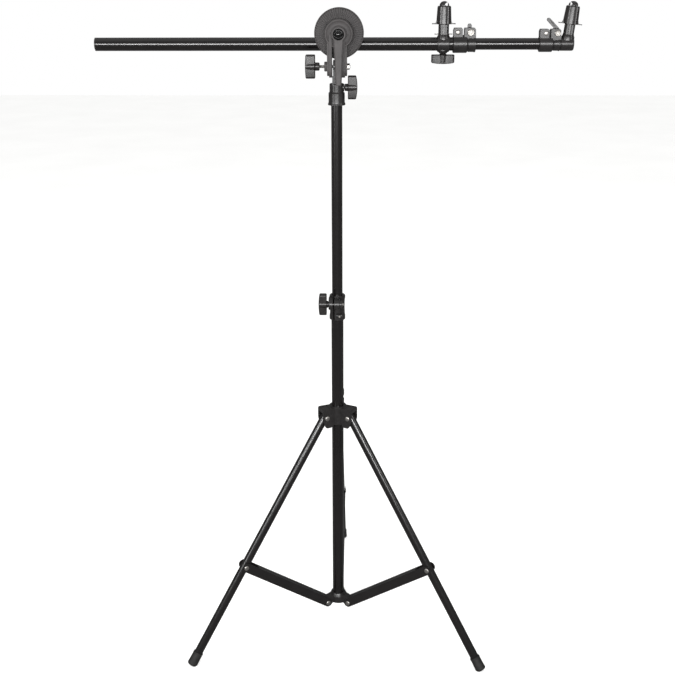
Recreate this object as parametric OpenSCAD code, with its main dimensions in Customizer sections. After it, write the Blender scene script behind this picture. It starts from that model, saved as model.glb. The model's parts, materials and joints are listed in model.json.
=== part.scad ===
// Three-leg light stand with a swivel and tilt head and a telescopic boom that holds
// a reflector disc by its rim. Z is up, the column stands on the Z axis, the floor is
// Z = 0 and the boom lies along X, behind the column. Millimetres.

/* [Tubes] */
// Outer diameter of the lower column tube
lower_tube_d = 22; // [21.6:0.1:22.2]
// Outer diameter of the upper column tube
upper_tube_d = 19; // [18.8:0.1:19.2]
// Outer diameter of the leg tubes
leg_tube_d = 16; // [14:0.5:16]
// Outer diameter of the outer boom tube
boom_outer_d = 22; // [21.6:0.1:22.2]
// Outer diameter of the middle boom tube
boom_middle_d = 19; // [18.8:0.1:19.2]
// Outer diameter of the inner boom tube
boom_inner_d = 16; // [15.8:0.1:16.2]
// Wall thickness of every tube
tube_wall = 1.2; // [1:0.1:1.2]

/* [Column] */
// Height of the lower end of the column
column_foot_z = 45; // [42:1:46]
// Top of the clamp collar on the lower tube
clamp_top_z = 689.5; // [660:0.5:720]
// Top of the upper tube, inside the swivel socket
upper_tube_top_z = 1030; // [980:1:1060]
// Length of the upper tube
upper_tube_len = 600; // [500:10:620]

/* [Legs] */
// Distance of the leg and brace pivots from the column axis
pivot_r = 27.5; // [27:0.5:29]
// Height of the leg pivots, legs spread
leg_pivot_z = 453.5; // [440:0.5:460]
// Angle of a spread leg from the vertical
leg_angle = 32.5; // [30:0.5:35]
// Length from the leg pivot to the middle of the foot
leg_len = 528; // [520:1:530]
// Length from the leg pivot to the knee
knee_dist = 322; // [310:1:330]
// Height of the brace pivots on the bottom hub
brace_pivot_z = 48.5; // [48:0.5:52]
// Depth of the brace channel
brace_depth = 17.5; // [17:0.5:18]
// Length of web left out of a brace at its knee end, so that the leg swings through
brace_web_cut = 26; // [24:1:60]

/* [Head] */
// Height of the tilt axis
tilt_z = 1089; // [1086:0.5:1090]
// Height of the boom pivot axis
boom_pivot_z = 1142; // [1140:0.5:1147]
// Side offset of the boom pivot axis
boom_pivot_x = 4; // [2:0.5:5]
// Diameter of the ribbed disc
disc_d = 82.5; // [76:0.5:83]
// Diameter of the smooth hub on the front of the disc
front_hub_d = 47; // [40:0.5:48]
// Length of the lock lever below its pivot
lever_len = 82; // [70:1:83]

/* [Boom] */
// Distance of the boom axis below the boom pivot
boom_drop = 19; // [18:0.5:22]
// Distance of the boom axis behind the column axis
boom_y = 33; // [33:0.5:36]
// Left end of the boom
boom_left_x = -412; // [-450:1:-300]
// Left edge of the lock on the outer tube
lock1_x = 195; // [195:1:240]
// Left edge of the lock on the middle tube
lock2_x = 339; // [330:1:339]
// Middle of the sliding clip
slider_x = 179; // [120:1:179]
// Middle of the end clip
end_clip_x = 386; // [386:0.5:389]
// Lean of the end clip away from the sliding one
end_clip_lean = 6; // [0:0.5:8]

/* [Knobs] */
// Length of a T knob's bar
knob_len = 39; // [30:0.5:39]
// Thickness of a T knob's bar
knob_thick = 13; // [10:0.5:14]

/* [Hidden] */
$fn = 64;

plastic = "#2b2a2a";
anodised = "#1b1919";
steel = "#c9c9c6";
rubber = "#161616";

cut = 1;           // how far a cutting solid runs past the face that it cuts
run = 0.05;        // radial clearance of a shaft that turns or slides in its hole
gap = 0.4;         // space between two moving pieces that don't bear on each other
screw_r = 2.5;     // clamping screws and rivets
left_az = 210;
right_az = 330;
rear_az = 90;

lower_r = lower_tube_d / 2;
upper_r = upper_tube_d / 2;
leg_r = leg_tube_d / 2;
outer_r = boom_outer_d / 2;
middle_r = boom_middle_d / 2;
inner_r = boom_inner_d / 2;

// Brace: it closes the triangle of leg, column and brace when the legs are spread
knee_rise = leg_pivot_z - knee_dist * cos(leg_angle) - brace_pivot_z;
knee_reach = knee_dist * sin(leg_angle);
brace_len = sqrt(knee_rise * knee_rise + knee_reach * knee_reach);
brace_angle = atan(knee_rise / knee_reach);
brace_in = 8.3;    // half the width inside the channel
brace_out = 9.5;   // half the width outside the channel
rivet_head_h = 1.8;
rivet_head_r = 4.8;

hub_half = 11.3;   // half the width of a lobe of the leg hub
hub_top_z = leg_pivot_z + 19;
hub_low_z = leg_pivot_z - 20;
hub_reach = 36;
collar_r = 17;
hub_screw_z = leg_pivot_z + 31;

clamp_h = 46;
clamp_r = 14.3;
clamp_axis_y = -21;
clamp_axis_z = clamp_top_z - 12;
clamp_left_x = -15;
clamp_right_x = 5;

socket_z = upper_tube_top_z - 4;
socket_top_z = socket_z + 36;
spigot_r = 8;
socket_knob_z = socket_z + 29;
tongue_left = -5.6;
tongue_right = 7.4;
cheek_r = 14;
cheek_drop = 4;         // how far the cheeks' round ends hang below the tilt axis
cheek_left = [-15.6, -7.4];
cheek_right = [7.9, 17.6];
bracket_front = -14;
bracket_back = 2.6;
disc_front = 3;
disc_back = 15;
bolt_r = 4;
holder_back = 48;
boom_z = boom_pivot_z - boom_drop;

lock1_w = [24, 14];     // widths of the two rings of the lock on the outer tube
lock1_r = [14.6, 13.1];
lock2_w = [22.7, 12.9];
lock2_r = [13.2, 11.3];
lug_half = 9;
flip_y = 15.2;          // the flip levers' arms pass behind the collars

post_r = 8.8;
sleeve_low = 32;
sleeve_top = 61;
post_shoulder = 38;
stem_r = 5;
hook_r = 8;
clip_top = 70;

// ---- shared shapes ----

// A tube along Z
module tube(r, len, wall = tube_wall) {
    difference() {
        cylinder(r = r, h = len);
        translate([0, 0, -cut]) cylinder(r = r - wall, h = len + 2 * cut);
    }
}

// A rod along X from one x to another
module rod_x(r, x0, x1) {
    translate([x0, 0, 0]) rotate([0, 90, 0]) cylinder(r = r, h = x1 - x0);
}

// A rod along Y from one y to another
module rod_y(r, y0, y1) {
    translate([0, y0, 0]) rotate([-90, 0, 0]) cylinder(r = r, h = y1 - y0);
}

// Rivet across a fork: shank and two heads, along Y
module rivet(half) {
    rod_y(screw_r, -half, half);
    rod_y(rivet_head_r, half, half + rivet_head_h);
    rod_y(rivet_head_r, -half - rivet_head_h, -half);
}

// T knob: the bar at the back, the round stem ends at Z = 0, the screw hole runs in
module t_knob(bar_w, stem_len, stem_r) {
    difference() {
        union() {
            translate([0, 0, -stem_len - bar_w]) intersection() {
                cylinder(r = knob_len / 2, h = bar_w);
                translate([-knob_thick / 2, -knob_len / 2, 0])
                    cube([knob_thick, knob_len, bar_w]);
            }
            translate([0, 0, -stem_len]) cylinder(r = stem_r, h = stem_len);
            translate([0, 0, -stem_len - bar_w * 0.8])
                cylinder(r = knob_thick / 2 + 1, h = bar_w * 0.8);
        }
        translate([0, 0, -stem_len - bar_w / 2])
            cylinder(r = screw_r, h = bar_w / 2 + stem_len + cut);
    }
}

// Hexagon nut along Z with a threaded hole of the screw's size
module nut(across, h, hole_r) {
    difference() {
        cylinder(r = across / 2 / cos(30), h = h, $fn = 6);
        translate([0, 0, -cut]) cylinder(r = hole_r, h = h + 2 * cut);
    }
}

// ---- places ----

// Down a leg: Z runs from the pivot to the foot, X points inwards
module on_leg(az) {
    rotate([0, 0, az])
        translate([pivot_r, 0, leg_pivot_z])
            rotate([0, 180 - leg_angle, 0])
                children();
}

// Up a brace: Z runs from the bottom hub to the knee, X points to the open side
module on_brace(az) {
    rotate([0, 0, az])
        translate([pivot_r, 0, brace_pivot_z])
            rotate([0, 90 - brace_angle, 0])
                children();
}

module on_boom(x = 0) {
    translate([x, boom_y, boom_z]) children();
}

module on_pivot() {
    translate([boom_pivot_x, 0, boom_pivot_z]) children();
}

module on_end_clip() {
    on_boom(end_clip_x) rotate([0, end_clip_lean, 0]) mirror([1, 0, 0]) children();
}

// ---- base ----

module lower_tube() {
    color(anodised) translate([0, 0, column_foot_z])
        tube(lower_r, clamp_top_z - 6 - column_foot_z);
}

module column_end_plug() {
    color(plastic) translate([0, 0, column_foot_z]) {
        cylinder(r = lower_r - tube_wall, h = 12);
        translate([0, 0, -1.5]) cylinder(r = lower_r, h = 1.5);
    }
}

module bottom_hub() {
    tongue_half = brace_in - 0.2;
    hub_h = 19;
    color(plastic) difference() {
        union() {
            translate([0, 0, column_foot_z]) cylinder(r = collar_r, h = hub_h);
            for (az = [left_az, right_az, rear_az]) rotate([0, 0, az]) {
                translate([pivot_r, 0, brace_pivot_z]) rod_y(8, -tongue_half, tongue_half);
                translate([12, -tongue_half, brace_pivot_z - 3.5])
                    cube([pivot_r - 12, 2 * tongue_half, 11.5]);
            }
        }
        translate([0, 0, column_foot_z - 10]) cylinder(r = lower_r, h = hub_h + 20);
        for (az = [left_az, right_az, rear_az]) rotate([0, 0, az])
            translate([pivot_r, 0, brace_pivot_z]) rod_y(screw_r, -12, 12);
    }
}

module brace_pivot_rivets() {
    color(steel) for (az = [left_az, right_az, rear_az]) rotate([0, 0, az])
        translate([pivot_r, 0, brace_pivot_z]) rivet(brace_out + 0.1);
}

// Profile of a leg hub lobe, seen from its side
module lobe_profile() {
    polygon([[10, hub_top_z], [hub_reach - 2, hub_top_z], [hub_reach, hub_top_z - 2],
        [hub_reach, leg_pivot_z - 3], [pivot_r + 6, leg_pivot_z - 13],
        [pivot_r, hub_low_z], [pivot_r - 8, hub_low_z], [14, leg_pivot_z - 14],
        [10, leg_pivot_z - 14]]);
}

module leg_hub() {
    boss_half = 8;
    color(plastic) difference() {
        union() {
            translate([0, 0, leg_pivot_z - 16]) cylinder(r = collar_r, h = 35);
            for (az = [left_az, right_az, rear_az]) rotate([0, 0, az])
                rotate([90, 0, 0]) translate([0, 0, -hub_half])
                    linear_extrude(2 * hub_half) lobe_profile();
            translate([-boss_half, 9, hub_top_z - 1]) cube([2 * boss_half, 15, 21]);
        }
        translate([0, 0, hub_low_z - 10]) cylinder(r = lower_r + run, h = 80);
        for (az = [left_az, right_az, rear_az]) rotate([0, 0, az]) {
            translate([collar_r - 0.4, -leg_r - 0.35, hub_low_z - 10])
                cube([hub_reach, 2 * leg_r + 0.7, leg_pivot_z + 11.5 - hub_low_z + 10]);
            translate([pivot_r, 0, leg_pivot_z]) rod_y(screw_r, -20, 20);
        }
        translate([0, 0, hub_screw_z]) rod_y(screw_r + run, 5, 30);
    }
}

module leg_pivot_rivets() {
    color(steel) for (az = [left_az, right_az, rear_az]) rotate([0, 0, az])
        translate([pivot_r, 0, leg_pivot_z]) rivet(hub_half);
}

// Round grip knob behind the leg hub, with its screw moulded in
module hub_knob() {
    grips = 8;
    color(plastic) translate([0, 0, hub_screw_z]) {
        rod_y(screw_r, lower_r + gap, 30);
        difference() {
            rod_y(12, 27, 38);
            for (i = [0 : grips - 1]) rotate([0, (i + 0.5) * 360 / grips, 0])
                translate([13.6, 0, 0]) rod_y(3, 26, 39);
        }
        rod_y(6, 24 + gap, 27);
    }
}

module leg(az) {
    color(anodised) on_leg(az) difference() {
        translate([0, 0, -6]) tube(leg_r, leg_len);
        rod_y(screw_r + run, -20, 20);
    }
}

module foot(az) {
    cap_r = leg_r + 1.8;
    cap_end = 9;
    cap_len = 27;
    color(rubber) intersection() {
        on_leg(az) difference() {
            translate([0, 0, leg_len + cap_end - cap_len]) cylinder(r = cap_r, h = cap_len);
            translate([0, 0, leg_len - 60]) cylinder(r = leg_r, h = 54);
        }
        translate([-500, -500, 0]) cube([1000, 1000, 100]);
    }
}

// Side of a brace: long plate with round ends
module brace_side() {
    r = brace_depth / 2;
    translate([-brace_out, 0]) square([brace_depth, brace_len]);
    for (y = [0, brace_len]) translate([r - brace_out, y]) circle(r = r);
}

module brace(az) {
    wall = brace_out - brace_in;
    color(anodised) on_brace(az) difference() {
        union() {
            for (y = [-brace_in, brace_out]) translate([0, y, 0]) rotate([90, 0, 0])
                linear_extrude(wall) brace_side();
            translate([-brace_out, -brace_out, 10])
                cube([wall, 2 * brace_out, brace_len - 10 - brace_web_cut]);
        }
        rod_y(screw_r + run, -20, 20);
        translate([0, 0, brace_len]) rod_y(screw_r, -20, 20);
    }
}

// Studs of the open pivot: each holds one side of the brace to the leg's flank
module knee_rivets(az) {
    color(steel) on_brace(az) translate([0, 0, brace_len]) for (s = [0, 1])
        mirror([0, s, 0]) {
            rod_y(screw_r, brace_in, brace_out);
            rod_y(rivet_head_r, brace_out, brace_out + rivet_head_h);
        }
}

// ---- column clamp ----

module clamp_collar() {
    low_z = clamp_top_z - clamp_h;
    slit = [-7.2, -4.8];
    color(plastic) difference() {
        union() {
            translate([0, 0, low_z]) cylinder(r = clamp_r, h = clamp_h);
            translate([0, 0, clamp_top_z - 7]) cylinder(r = clamp_r - 0.5, h = 7);
            translate([0, clamp_axis_y, clamp_axis_z])
                rod_x(10, clamp_left_x, clamp_right_x);
            translate([clamp_left_x, clamp_axis_y, clamp_axis_z - 10])
                cube([clamp_right_x - clamp_left_x, 14, 20]);
            translate([0, clamp_axis_y, clamp_axis_z])
                rod_x(8, clamp_right_x - 1, clamp_right_x + 4);
        }
        translate([0, clamp_axis_y, clamp_axis_z])
            rod_x(5.7, clamp_right_x, clamp_right_x + 5);
        translate([0, 0, low_z - cut]) cylinder(r = lower_r, h = clamp_h - 6 + cut);
        translate([0, 0, low_z]) cylinder(r = upper_r + run, h = clamp_h + cut);
        translate([slit[0], clamp_axis_y - 12, low_z - cut])
            cube([slit[1] - slit[0], 12 - clamp_axis_y - 7, clamp_h + 2 * cut]);
        translate([0, clamp_axis_y, clamp_axis_z]) rod_x(screw_r + run, -20, 20);
    }
}

module clamp_nut() {
    color(steel) translate([clamp_right_x, clamp_axis_y, clamp_axis_z])
        rotate([0, 90, 0]) nut(9, 4.5, screw_r + run);
}

module clamp_knob() {
    color(plastic) translate([clamp_left_x - gap, clamp_axis_y, clamp_axis_z])
        rotate([0, 90, 0]) rotate([0, 0, 90]) t_knob(14.5, 3, 6.2);
}

module clamp_screw() {
    color(steel) translate([0, clamp_axis_y, clamp_axis_z])
        rod_x(screw_r, clamp_left_x - gap - 10.25, clamp_right_x + 7);
}

// ---- upper column ----

module upper_tube() {
    color(anodised) translate([0, 0, upper_tube_top_z - upper_tube_len])
        tube(upper_r, upper_tube_len);
}

module tube_bushing() {
    color(plastic) translate([0, 0, upper_tube_top_z - upper_tube_len - 6]) difference() {
        union() {
            cylinder(r = lower_r - tube_wall - run, h = 6);
            cylinder(r = upper_r - tube_wall, h = 22);
        }
        translate([0, 0, -cut]) cylinder(r = 5.5, h = 30);
    }
}

module spigot() {
    color(steel) {
        translate([0, 0, upper_tube_top_z - 30]) cylinder(r = upper_r - tube_wall, h = 30);
        translate([0, 0, upper_tube_top_z]) cylinder(r = spigot_r, h = 27);
    }
}

// ---- swivel and tilt head ----

module swivel_socket() {
    base_left = tongue_left - 1.4;
    base_right = tongue_right + 0.1;
    color(plastic) difference() {
        union() {
            translate([0, 0, socket_z]) rotate_extrude() polygon([[0, 0], [14.6, 0],
                [15, 1.5], [13.75, 4.5], [13.75, 20], [12, 22], [12, 34], [11, 36], [0, 36]]);
            translate([base_left, -10, socket_top_z - 3])
                cube([base_right - base_left, 20, 14]);
            translate([tongue_left, -10, socket_top_z])
                cube([tongue_right - tongue_left, 20, tilt_z - socket_top_z]);
            translate([0, 0, tilt_z]) rod_x(11, tongue_left, tongue_right);
            translate([0, 0, socket_knob_z]) rod_x(6, 8, 13);
        }
        translate([0, 0, socket_z - cut]) cylinder(r = upper_r + 0.4, h = 4.6 + cut);
        translate([0, 0, socket_z]) cylinder(r = spigot_r + run, h = 33);
        translate([0, 0, tilt_z]) rod_x(screw_r + run, -20, 20);
        translate([0, 0, socket_knob_z]) rod_x(screw_r + run, 5, 20);
    }
}

module socket_knob() {
    color(plastic) translate([13 + gap, 0, socket_knob_z])
        rotate([0, -90, 0]) rotate([0, 0, 90]) t_knob(16, 5.6, 6);
}

module socket_screw() {
    color(steel) translate([0, 0, socket_knob_z]) rod_x(screw_r, spigot_r + gap, 27);
}

module head_bracket() {
    hub_r = front_hub_d / 2;
    color(plastic) difference() {
        union() {
            for (x = [cheek_left, cheek_right]) {
                translate([0, 0, tilt_z - cheek_drop]) rod_x(cheek_r, x[0], x[1]);
                translate([x[0], bracket_front, tilt_z - cheek_drop])
                    cube([x[1] - x[0], bracket_back - bracket_front,
                        boom_pivot_z - tilt_z + cheek_drop]);
            }
            on_pivot() rod_y(hub_r, bracket_front, bracket_back);
            translate([0, 0, tilt_z]) rod_x(8, -20.5, 0);
        }
        translate([cheek_left[1], -cheek_r - cut, tilt_z - cheek_r - cheek_drop - cut])
            cube([cheek_right[0] - cheek_left[1], 2 * (cheek_r + cut),
                2 * cheek_r + cheek_drop + cut + 2]);
        translate([0, 0, tilt_z]) rod_x(screw_r + run, -30, 30);
        on_pivot() rod_y(bolt_r, -20, 20);
    }
}

module tilt_nut() {
    color(steel) translate([cheek_right[1], 0, tilt_z]) rotate([0, 90, 0])
        nut(9, 4.5, screw_r + run);
}

module tilt_knob() {
    color(plastic) translate([-28.5, 0, tilt_z])
        rotate([0, 90, 0]) rotate([0, 0, 90]) t_knob(16.6, 7.5, 6.7);
}

module tilt_screw() {
    color(steel) translate([0, 0, tilt_z]) rod_x(screw_r, -44.3, 23);
}

module pivot_bolt() {
    color(steel) on_pivot() {
        rod_y(bolt_r, -25, holder_back + 7);
    }
}

module pivot_nut() {
    color(steel) on_pivot() translate([0, holder_back + gap, 0]) rotate([-90, 0, 0])
        nut(13, 6, bolt_r);
}

// The disc's front face, between rim and hub, is where its radial ribs stand
module ribbed_disc() {
    rim = 1.2;
    color(plastic) on_pivot() rotate([90, 0, 0]) rotate_extrude() polygon([
        [bolt_r + run, -disc_back], [disc_d / 2 - rim, -disc_back],
        [disc_d / 2, -disc_back + rim], [disc_d / 2, -disc_front - rim],
        [disc_d / 2 - rim, -disc_front], [bolt_r + run, -disc_front]]);
}

module boom_holder() {
    wide = [-14, 22];
    wrap_r = outer_r + 3.5;
    color(plastic) difference() {
        union() {
            translate([0, boom_y, boom_z]) rod_x(wrap_r, wide[0], wide[1]);
            translate([wide[0], disc_back, boom_z - wrap_r + 2])
                cube([wide[1] - wide[0], boom_y - disc_back, 2 * wrap_r - 2]);
            translate([wide[0], disc_back, boom_z])
                cube([wide[1] - wide[0], holder_back - disc_back, boom_drop + 12]);
        }
        translate([0, boom_y, boom_z]) rod_x(outer_r + run, wide[0] - cut, wide[1] + cut);
        translate([wide[0] - cut, boom_y, boom_z - 1])
            cube([wide[1] - wide[0] + 2 * cut, 40, 2]);
        on_pivot() rod_y(bolt_r + run, 0, 80);
    }
}

module lock_lever() {
    eye_back = bracket_front - gap;
    eye_front = -26;
    bar_t = 7;
    color(plastic) on_pivot() difference() {
        union() {
            rod_y(12, eye_front, eye_back);
            translate([0, eye_front + bar_t, 0]) rotate([90, 0, 0]) linear_extrude(bar_t)
                polygon([[-8.5, 0], [8.5, 0], [6.5, -45], [5, -lever_len + 2],
                    [3, -lever_len], [-3, -lever_len], [-5, -lever_len + 2], [-6.5, -45]]);
        }
        rod_y(bolt_r + run, -25.1, 0);
    }
}

module lever_cap() {
    color("#0c0c0c") on_pivot() intersection() {
        translate([0, -25.5, 0]) sphere(r = 6);
        rod_y(7, -35, -26);
    }
}

// ---- boom ----

module boom_outer_tube() {
    color(anodised) on_boom(boom_left_x + 2) rotate([0, 90, 0])
        tube(outer_r, lock1_x + 18 - boom_left_x - 2);
}

module boom_tail_plug() {
    color(plastic) on_boom(boom_left_x) {
        rod_x(outer_r, 0, 2);
        rod_x(outer_r - tube_wall, 2, 18);
    }
}

module boom_middle_tube() {
    color(anodised) on_boom(-285) rotate([0, 90, 0]) tube(middle_r, lock2_x + 16 + 285);
}

module boom_inner_tube() {
    color(anodised) on_boom(-240) rotate([0, 90, 0]) tube(inner_r, end_clip_x + 5 + 240);
}

// Collar that ends a boom tube: two rings, two split lugs, the next tube runs through
module tube_lock(w, r, held_r, held_len, next_r, lug_top, screw_h, rivet_x, screw_x) {
    lug_gap = [15.6, 18.6];
    difference() {
        union() {
            rod_x(r[0], 0, w[0]);
            rod_x(r[1], w[0] - cut, w[0] + w[1]);
            translate([0, -lug_half, 0]) cube([lug_gap[0], 2 * lug_half, lug_top]);
            translate([lug_gap[1], -lug_half, 0])
                cube([w[0] + w[1] - lug_gap[1], 2 * lug_half, lug_top]);
        }
        rod_x(held_r, -cut, held_len);
        rod_x(next_r + run, 0, 60);
        translate([-cut, -0.8, 0]) cube([60, 1.6, 40]);
        translate([rivet_x, 0, screw_h]) rod_y(screw_r, -20, 20);
        translate([screw_x, 0, screw_h]) rod_y(screw_r, -20, 20);
    }
}

module lock_screws(rivet_x, screw_x, screw_h, head_r) {
    color(steel) {
        translate([rivet_x, 0, screw_h]) {
            rod_y(screw_r, -lug_half, lug_half);
            rod_y(3.8, -lug_half - 1.6, -lug_half);
            rod_y(3.8, lug_half, lug_half + 1.6);
        }
        translate([screw_x, 0, screw_h]) {
            rod_y(screw_r, -lug_half, flip_y + 6.5);
            rod_y(head_r, -lug_half - 2.4, -lug_half);
        }
    }
}

// Lever nut behind a lock: hub, arm offset to one side, and a short thumb tail
module flip_lever() {
    color(plastic) difference() {
        union() {
            rod_y(7.5, lug_half + gap, flip_y + 5);
            translate([-9.1, flip_y, -23]) cube([6, 5, 23]);
            translate([-6.1, 0, -23]) rod_y(3, flip_y, flip_y + 5);
            translate([-3.5, flip_y, 0]) cube([7, 5, 13]);
        }
        rod_y(screw_r + run, 0, 40);
    }
}

lock1_lug = 26;
lock1_screw_h = 19;
lock1_rivet_x = 7.7;
lock1_screw_x = 29;
lock2_lug = 24;
lock2_screw_h = 17.5;
lock2_rivet_x = 10.4;
lock2_screw_x = 29.4;

module lock1_collar() {
    color(plastic) on_boom(lock1_x) tube_lock(lock1_w, lock1_r, outer_r, 18, middle_r,
        lock1_lug, lock1_screw_h, lock1_rivet_x, lock1_screw_x);
}

module lock1_screws() {
    on_boom(lock1_x) lock_screws(lock1_rivet_x, lock1_screw_x, lock1_screw_h, 5.9);
}

module flip_lever1() {
    on_boom(lock1_x + lock1_screw_x) translate([0, 0, lock1_screw_h]) flip_lever();
}

module lock2_collar() {
    color(plastic) on_boom(lock2_x) tube_lock(lock2_w, lock2_r, middle_r, 16, inner_r,
        lock2_lug, lock2_screw_h, lock2_rivet_x, lock2_screw_x);
}

module lock2_screws() {
    on_boom(lock2_x) lock_screws(lock2_rivet_x, lock2_screw_x, lock2_screw_h, 5.25);
}

module flip_lever2() {
    on_boom(lock2_x + lock2_screw_x) translate([0, 0, lock2_screw_h])
        rotate([0, 135, 0]) flip_lever();
}

// ---- reflector clips ----

// Post of a clip, up the Z axis from the boom's centre: neck, stem and a hook that
// opens downwards on the +X side of the stem
module clip_post_body() {
    notch = [0.5, 6];
    cylinder(r = post_r, h = post_shoulder);
    translate([0, 0, post_shoulder - 1]) cylinder(r = stem_r, h = sleeve_top - post_shoulder + 2);
    translate([0, 0, sleeve_top + gap]) difference() {
        union() {
            cylinder(r = hook_r, h = clip_top - hook_r - sleeve_top - gap);
            translate([0, 0, clip_top - hook_r - sleeve_top - gap]) intersection() {
                sphere(r = hook_r);
                translate([-10, -10, 0]) cube([20, 20, 10]);
            }
        }
        translate([notch[0], -10, -cut]) cube([notch[1] - notch[0], 20, 5.7 + cut]);
    }
}

// What is cut from a post: the flat of its stem, two slots in its neck
module clip_post_cuts() {
    translate([0.5, -10, sleeve_top - 14]) cube([10, 20, 14 + gap]);
    for (s = [0, 1]) mirror([0, s, 0])
        translate([-1.2, post_r - 1.6, 15]) cube([2.4, 4, 15]);
}

module slider_post() {
    color(plastic) on_boom(slider_x) difference() {
        union() {
            rod_x(13, -10, 10);
            clip_post_body();
            translate([0, 0, -15]) cylinder(r = 6.5, h = 10);
        }
        rod_x(outer_r + run, -12, 12);
        clip_post_cuts();
        translate([0, 0, 16]) rod_x(0.8, -20, 20);
        translate([0, 0, -20]) cylinder(r = screw_r + run, h = 15);
    }
}

module slider_cross_pin() {
    color(steel) on_boom(slider_x) translate([0, 0, 16]) rod_x(0.8, -15, 15);
}

module slider_knob() {
    color(plastic) on_boom(slider_x) translate([0, 0, -15 - gap])
        rotate([0, 0, 90]) t_knob(15, 2, 6);
}

module slider_screw() {
    color(steel) on_boom(slider_x) translate([0, 0, -24.9])
        cylinder(r = screw_r, h = 24.9 - outer_r - gap);
}

module clip_sleeve() {
    top_h = 4;
    color(plastic) {
        rotate_extrude() polygon([[post_r + gap, sleeve_low], [12.8, sleeve_low],
            [11.2, sleeve_top], [stem_r + gap, sleeve_top],
            [stem_r + gap, sleeve_top - top_h], [post_r + gap, sleeve_top - top_h]]);
        for (s = [0, 1]) mirror([s, 0, 0])
            translate([12, -5, sleeve_low]) cube([7.5, 10, 1.3]);
    }
}

module slider_sleeve() {
    on_boom(slider_x) clip_sleeve();
}

module end_clip_post() {
    cup = [-11, 11];
    color(plastic) difference() {
        union() {
            on_boom(end_clip_x) rod_x(11.3, cup[0], cup[1]);
            on_end_clip() clip_post_body();
        }
        on_boom(end_clip_x) rod_x(inner_r, cup[0] - cut, 5);
        on_end_clip() clip_post_cuts();
    }
}

module end_sleeve() {
    on_end_clip() clip_sleeve();
}

// Coil spring: a round wire swept up a helix, closed at both ends
spring_r = 7;
spring_wire = 0.5;
spring_turns = 5;
spring_rings = 60;
spring_sides = 6;
spring_z0 = post_shoulder + spring_wire + 0.1;
spring_z1 = sleeve_top - 4 - spring_wire - 0.1;

function helix_point(i, j) = let (
        a = 360 * spring_turns * i / spring_rings,
        b = 360 * j / spring_sides,
        r = spring_r + spring_wire * cos(b)
    ) [r * cos(a), r * sin(a),
       spring_z0 + (spring_z1 - spring_z0) * i / spring_rings + spring_wire * sin(b)];

module coil_spring() {
    n = spring_sides;
    points = [for (i = [0 : spring_rings]) for (j = [0 : n - 1]) helix_point(i, j)];
    sides = [for (i = [0 : spring_rings - 1]) for (j = [0 : n - 1])
        [i * n + j, (i + 1) * n + j, (i + 1) * n + (j + 1) % n, i * n + (j + 1) % n]];
    low = [for (j = [0 : n - 1]) j];
    high = [for (j = [0 : n - 1]) spring_rings * n + n - 1 - j];
    color(steel) polyhedron(points, concat(sides, [low, high]), convexity = 10);
}

module slider_spring() {
    on_boom(slider_x) coil_spring();
}

module end_spring() {
    on_boom(end_clip_x) rotate([0, end_clip_lean, 0]) coil_spring();
}

lower_tube();
column_end_plug();
bottom_hub();
brace_pivot_rivets();
clamp_collar();
clamp_nut();
leg_hub();
leg_pivot_rivets();
hub_knob();
leg(left_az);  // leg_left
leg(right_az);  // leg_right
leg(rear_az);  // leg_rear
foot(left_az);  // foot_left
foot(right_az);  // foot_right
foot(rear_az);  // foot_rear
brace(left_az);  // brace_left
brace(right_az);  // brace_right
brace(rear_az);  // brace_rear
knee_rivets(left_az);  // knee_rivets_left
knee_rivets(right_az);  // knee_rivets_right
knee_rivets(rear_az);  // knee_rivets_rear
clamp_knob();
clamp_screw();
upper_tube();
tube_bushing();
spigot();
swivel_socket();
socket_knob();
socket_screw();
head_bracket();
tilt_nut();
pivot_bolt();
pivot_nut();
tilt_knob();
tilt_screw();
ribbed_disc();
boom_holder();
lock_lever();
lever_cap();
boom_outer_tube();
boom_tail_plug();
lock1_collar();
lock1_screws();
flip_lever1();
slider_post();
slider_cross_pin();
slider_spring();
slider_knob();
slider_screw();
slider_sleeve();
boom_middle_tube();
lock2_collar();
lock2_screws();
flip_lever2();
boom_inner_tube();
end_clip_post();
end_spring();
end_sleeve();
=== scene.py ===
# Three-leg light stand with a swivel and tilt head and a telescopic boom whose two clips
# hold a reflector disc by its rim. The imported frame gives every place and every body;
# this script draws the finished surfaces on it. Drawing is in millimetres.
import json
import math

import bmesh
import bpy
from bpy.props import FloatProperty, FloatVectorProperty, IntProperty, PointerProperty
from bpy.types import Operator, Panel, PropertyGroup
from mathutils import Matrix, Vector

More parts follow.
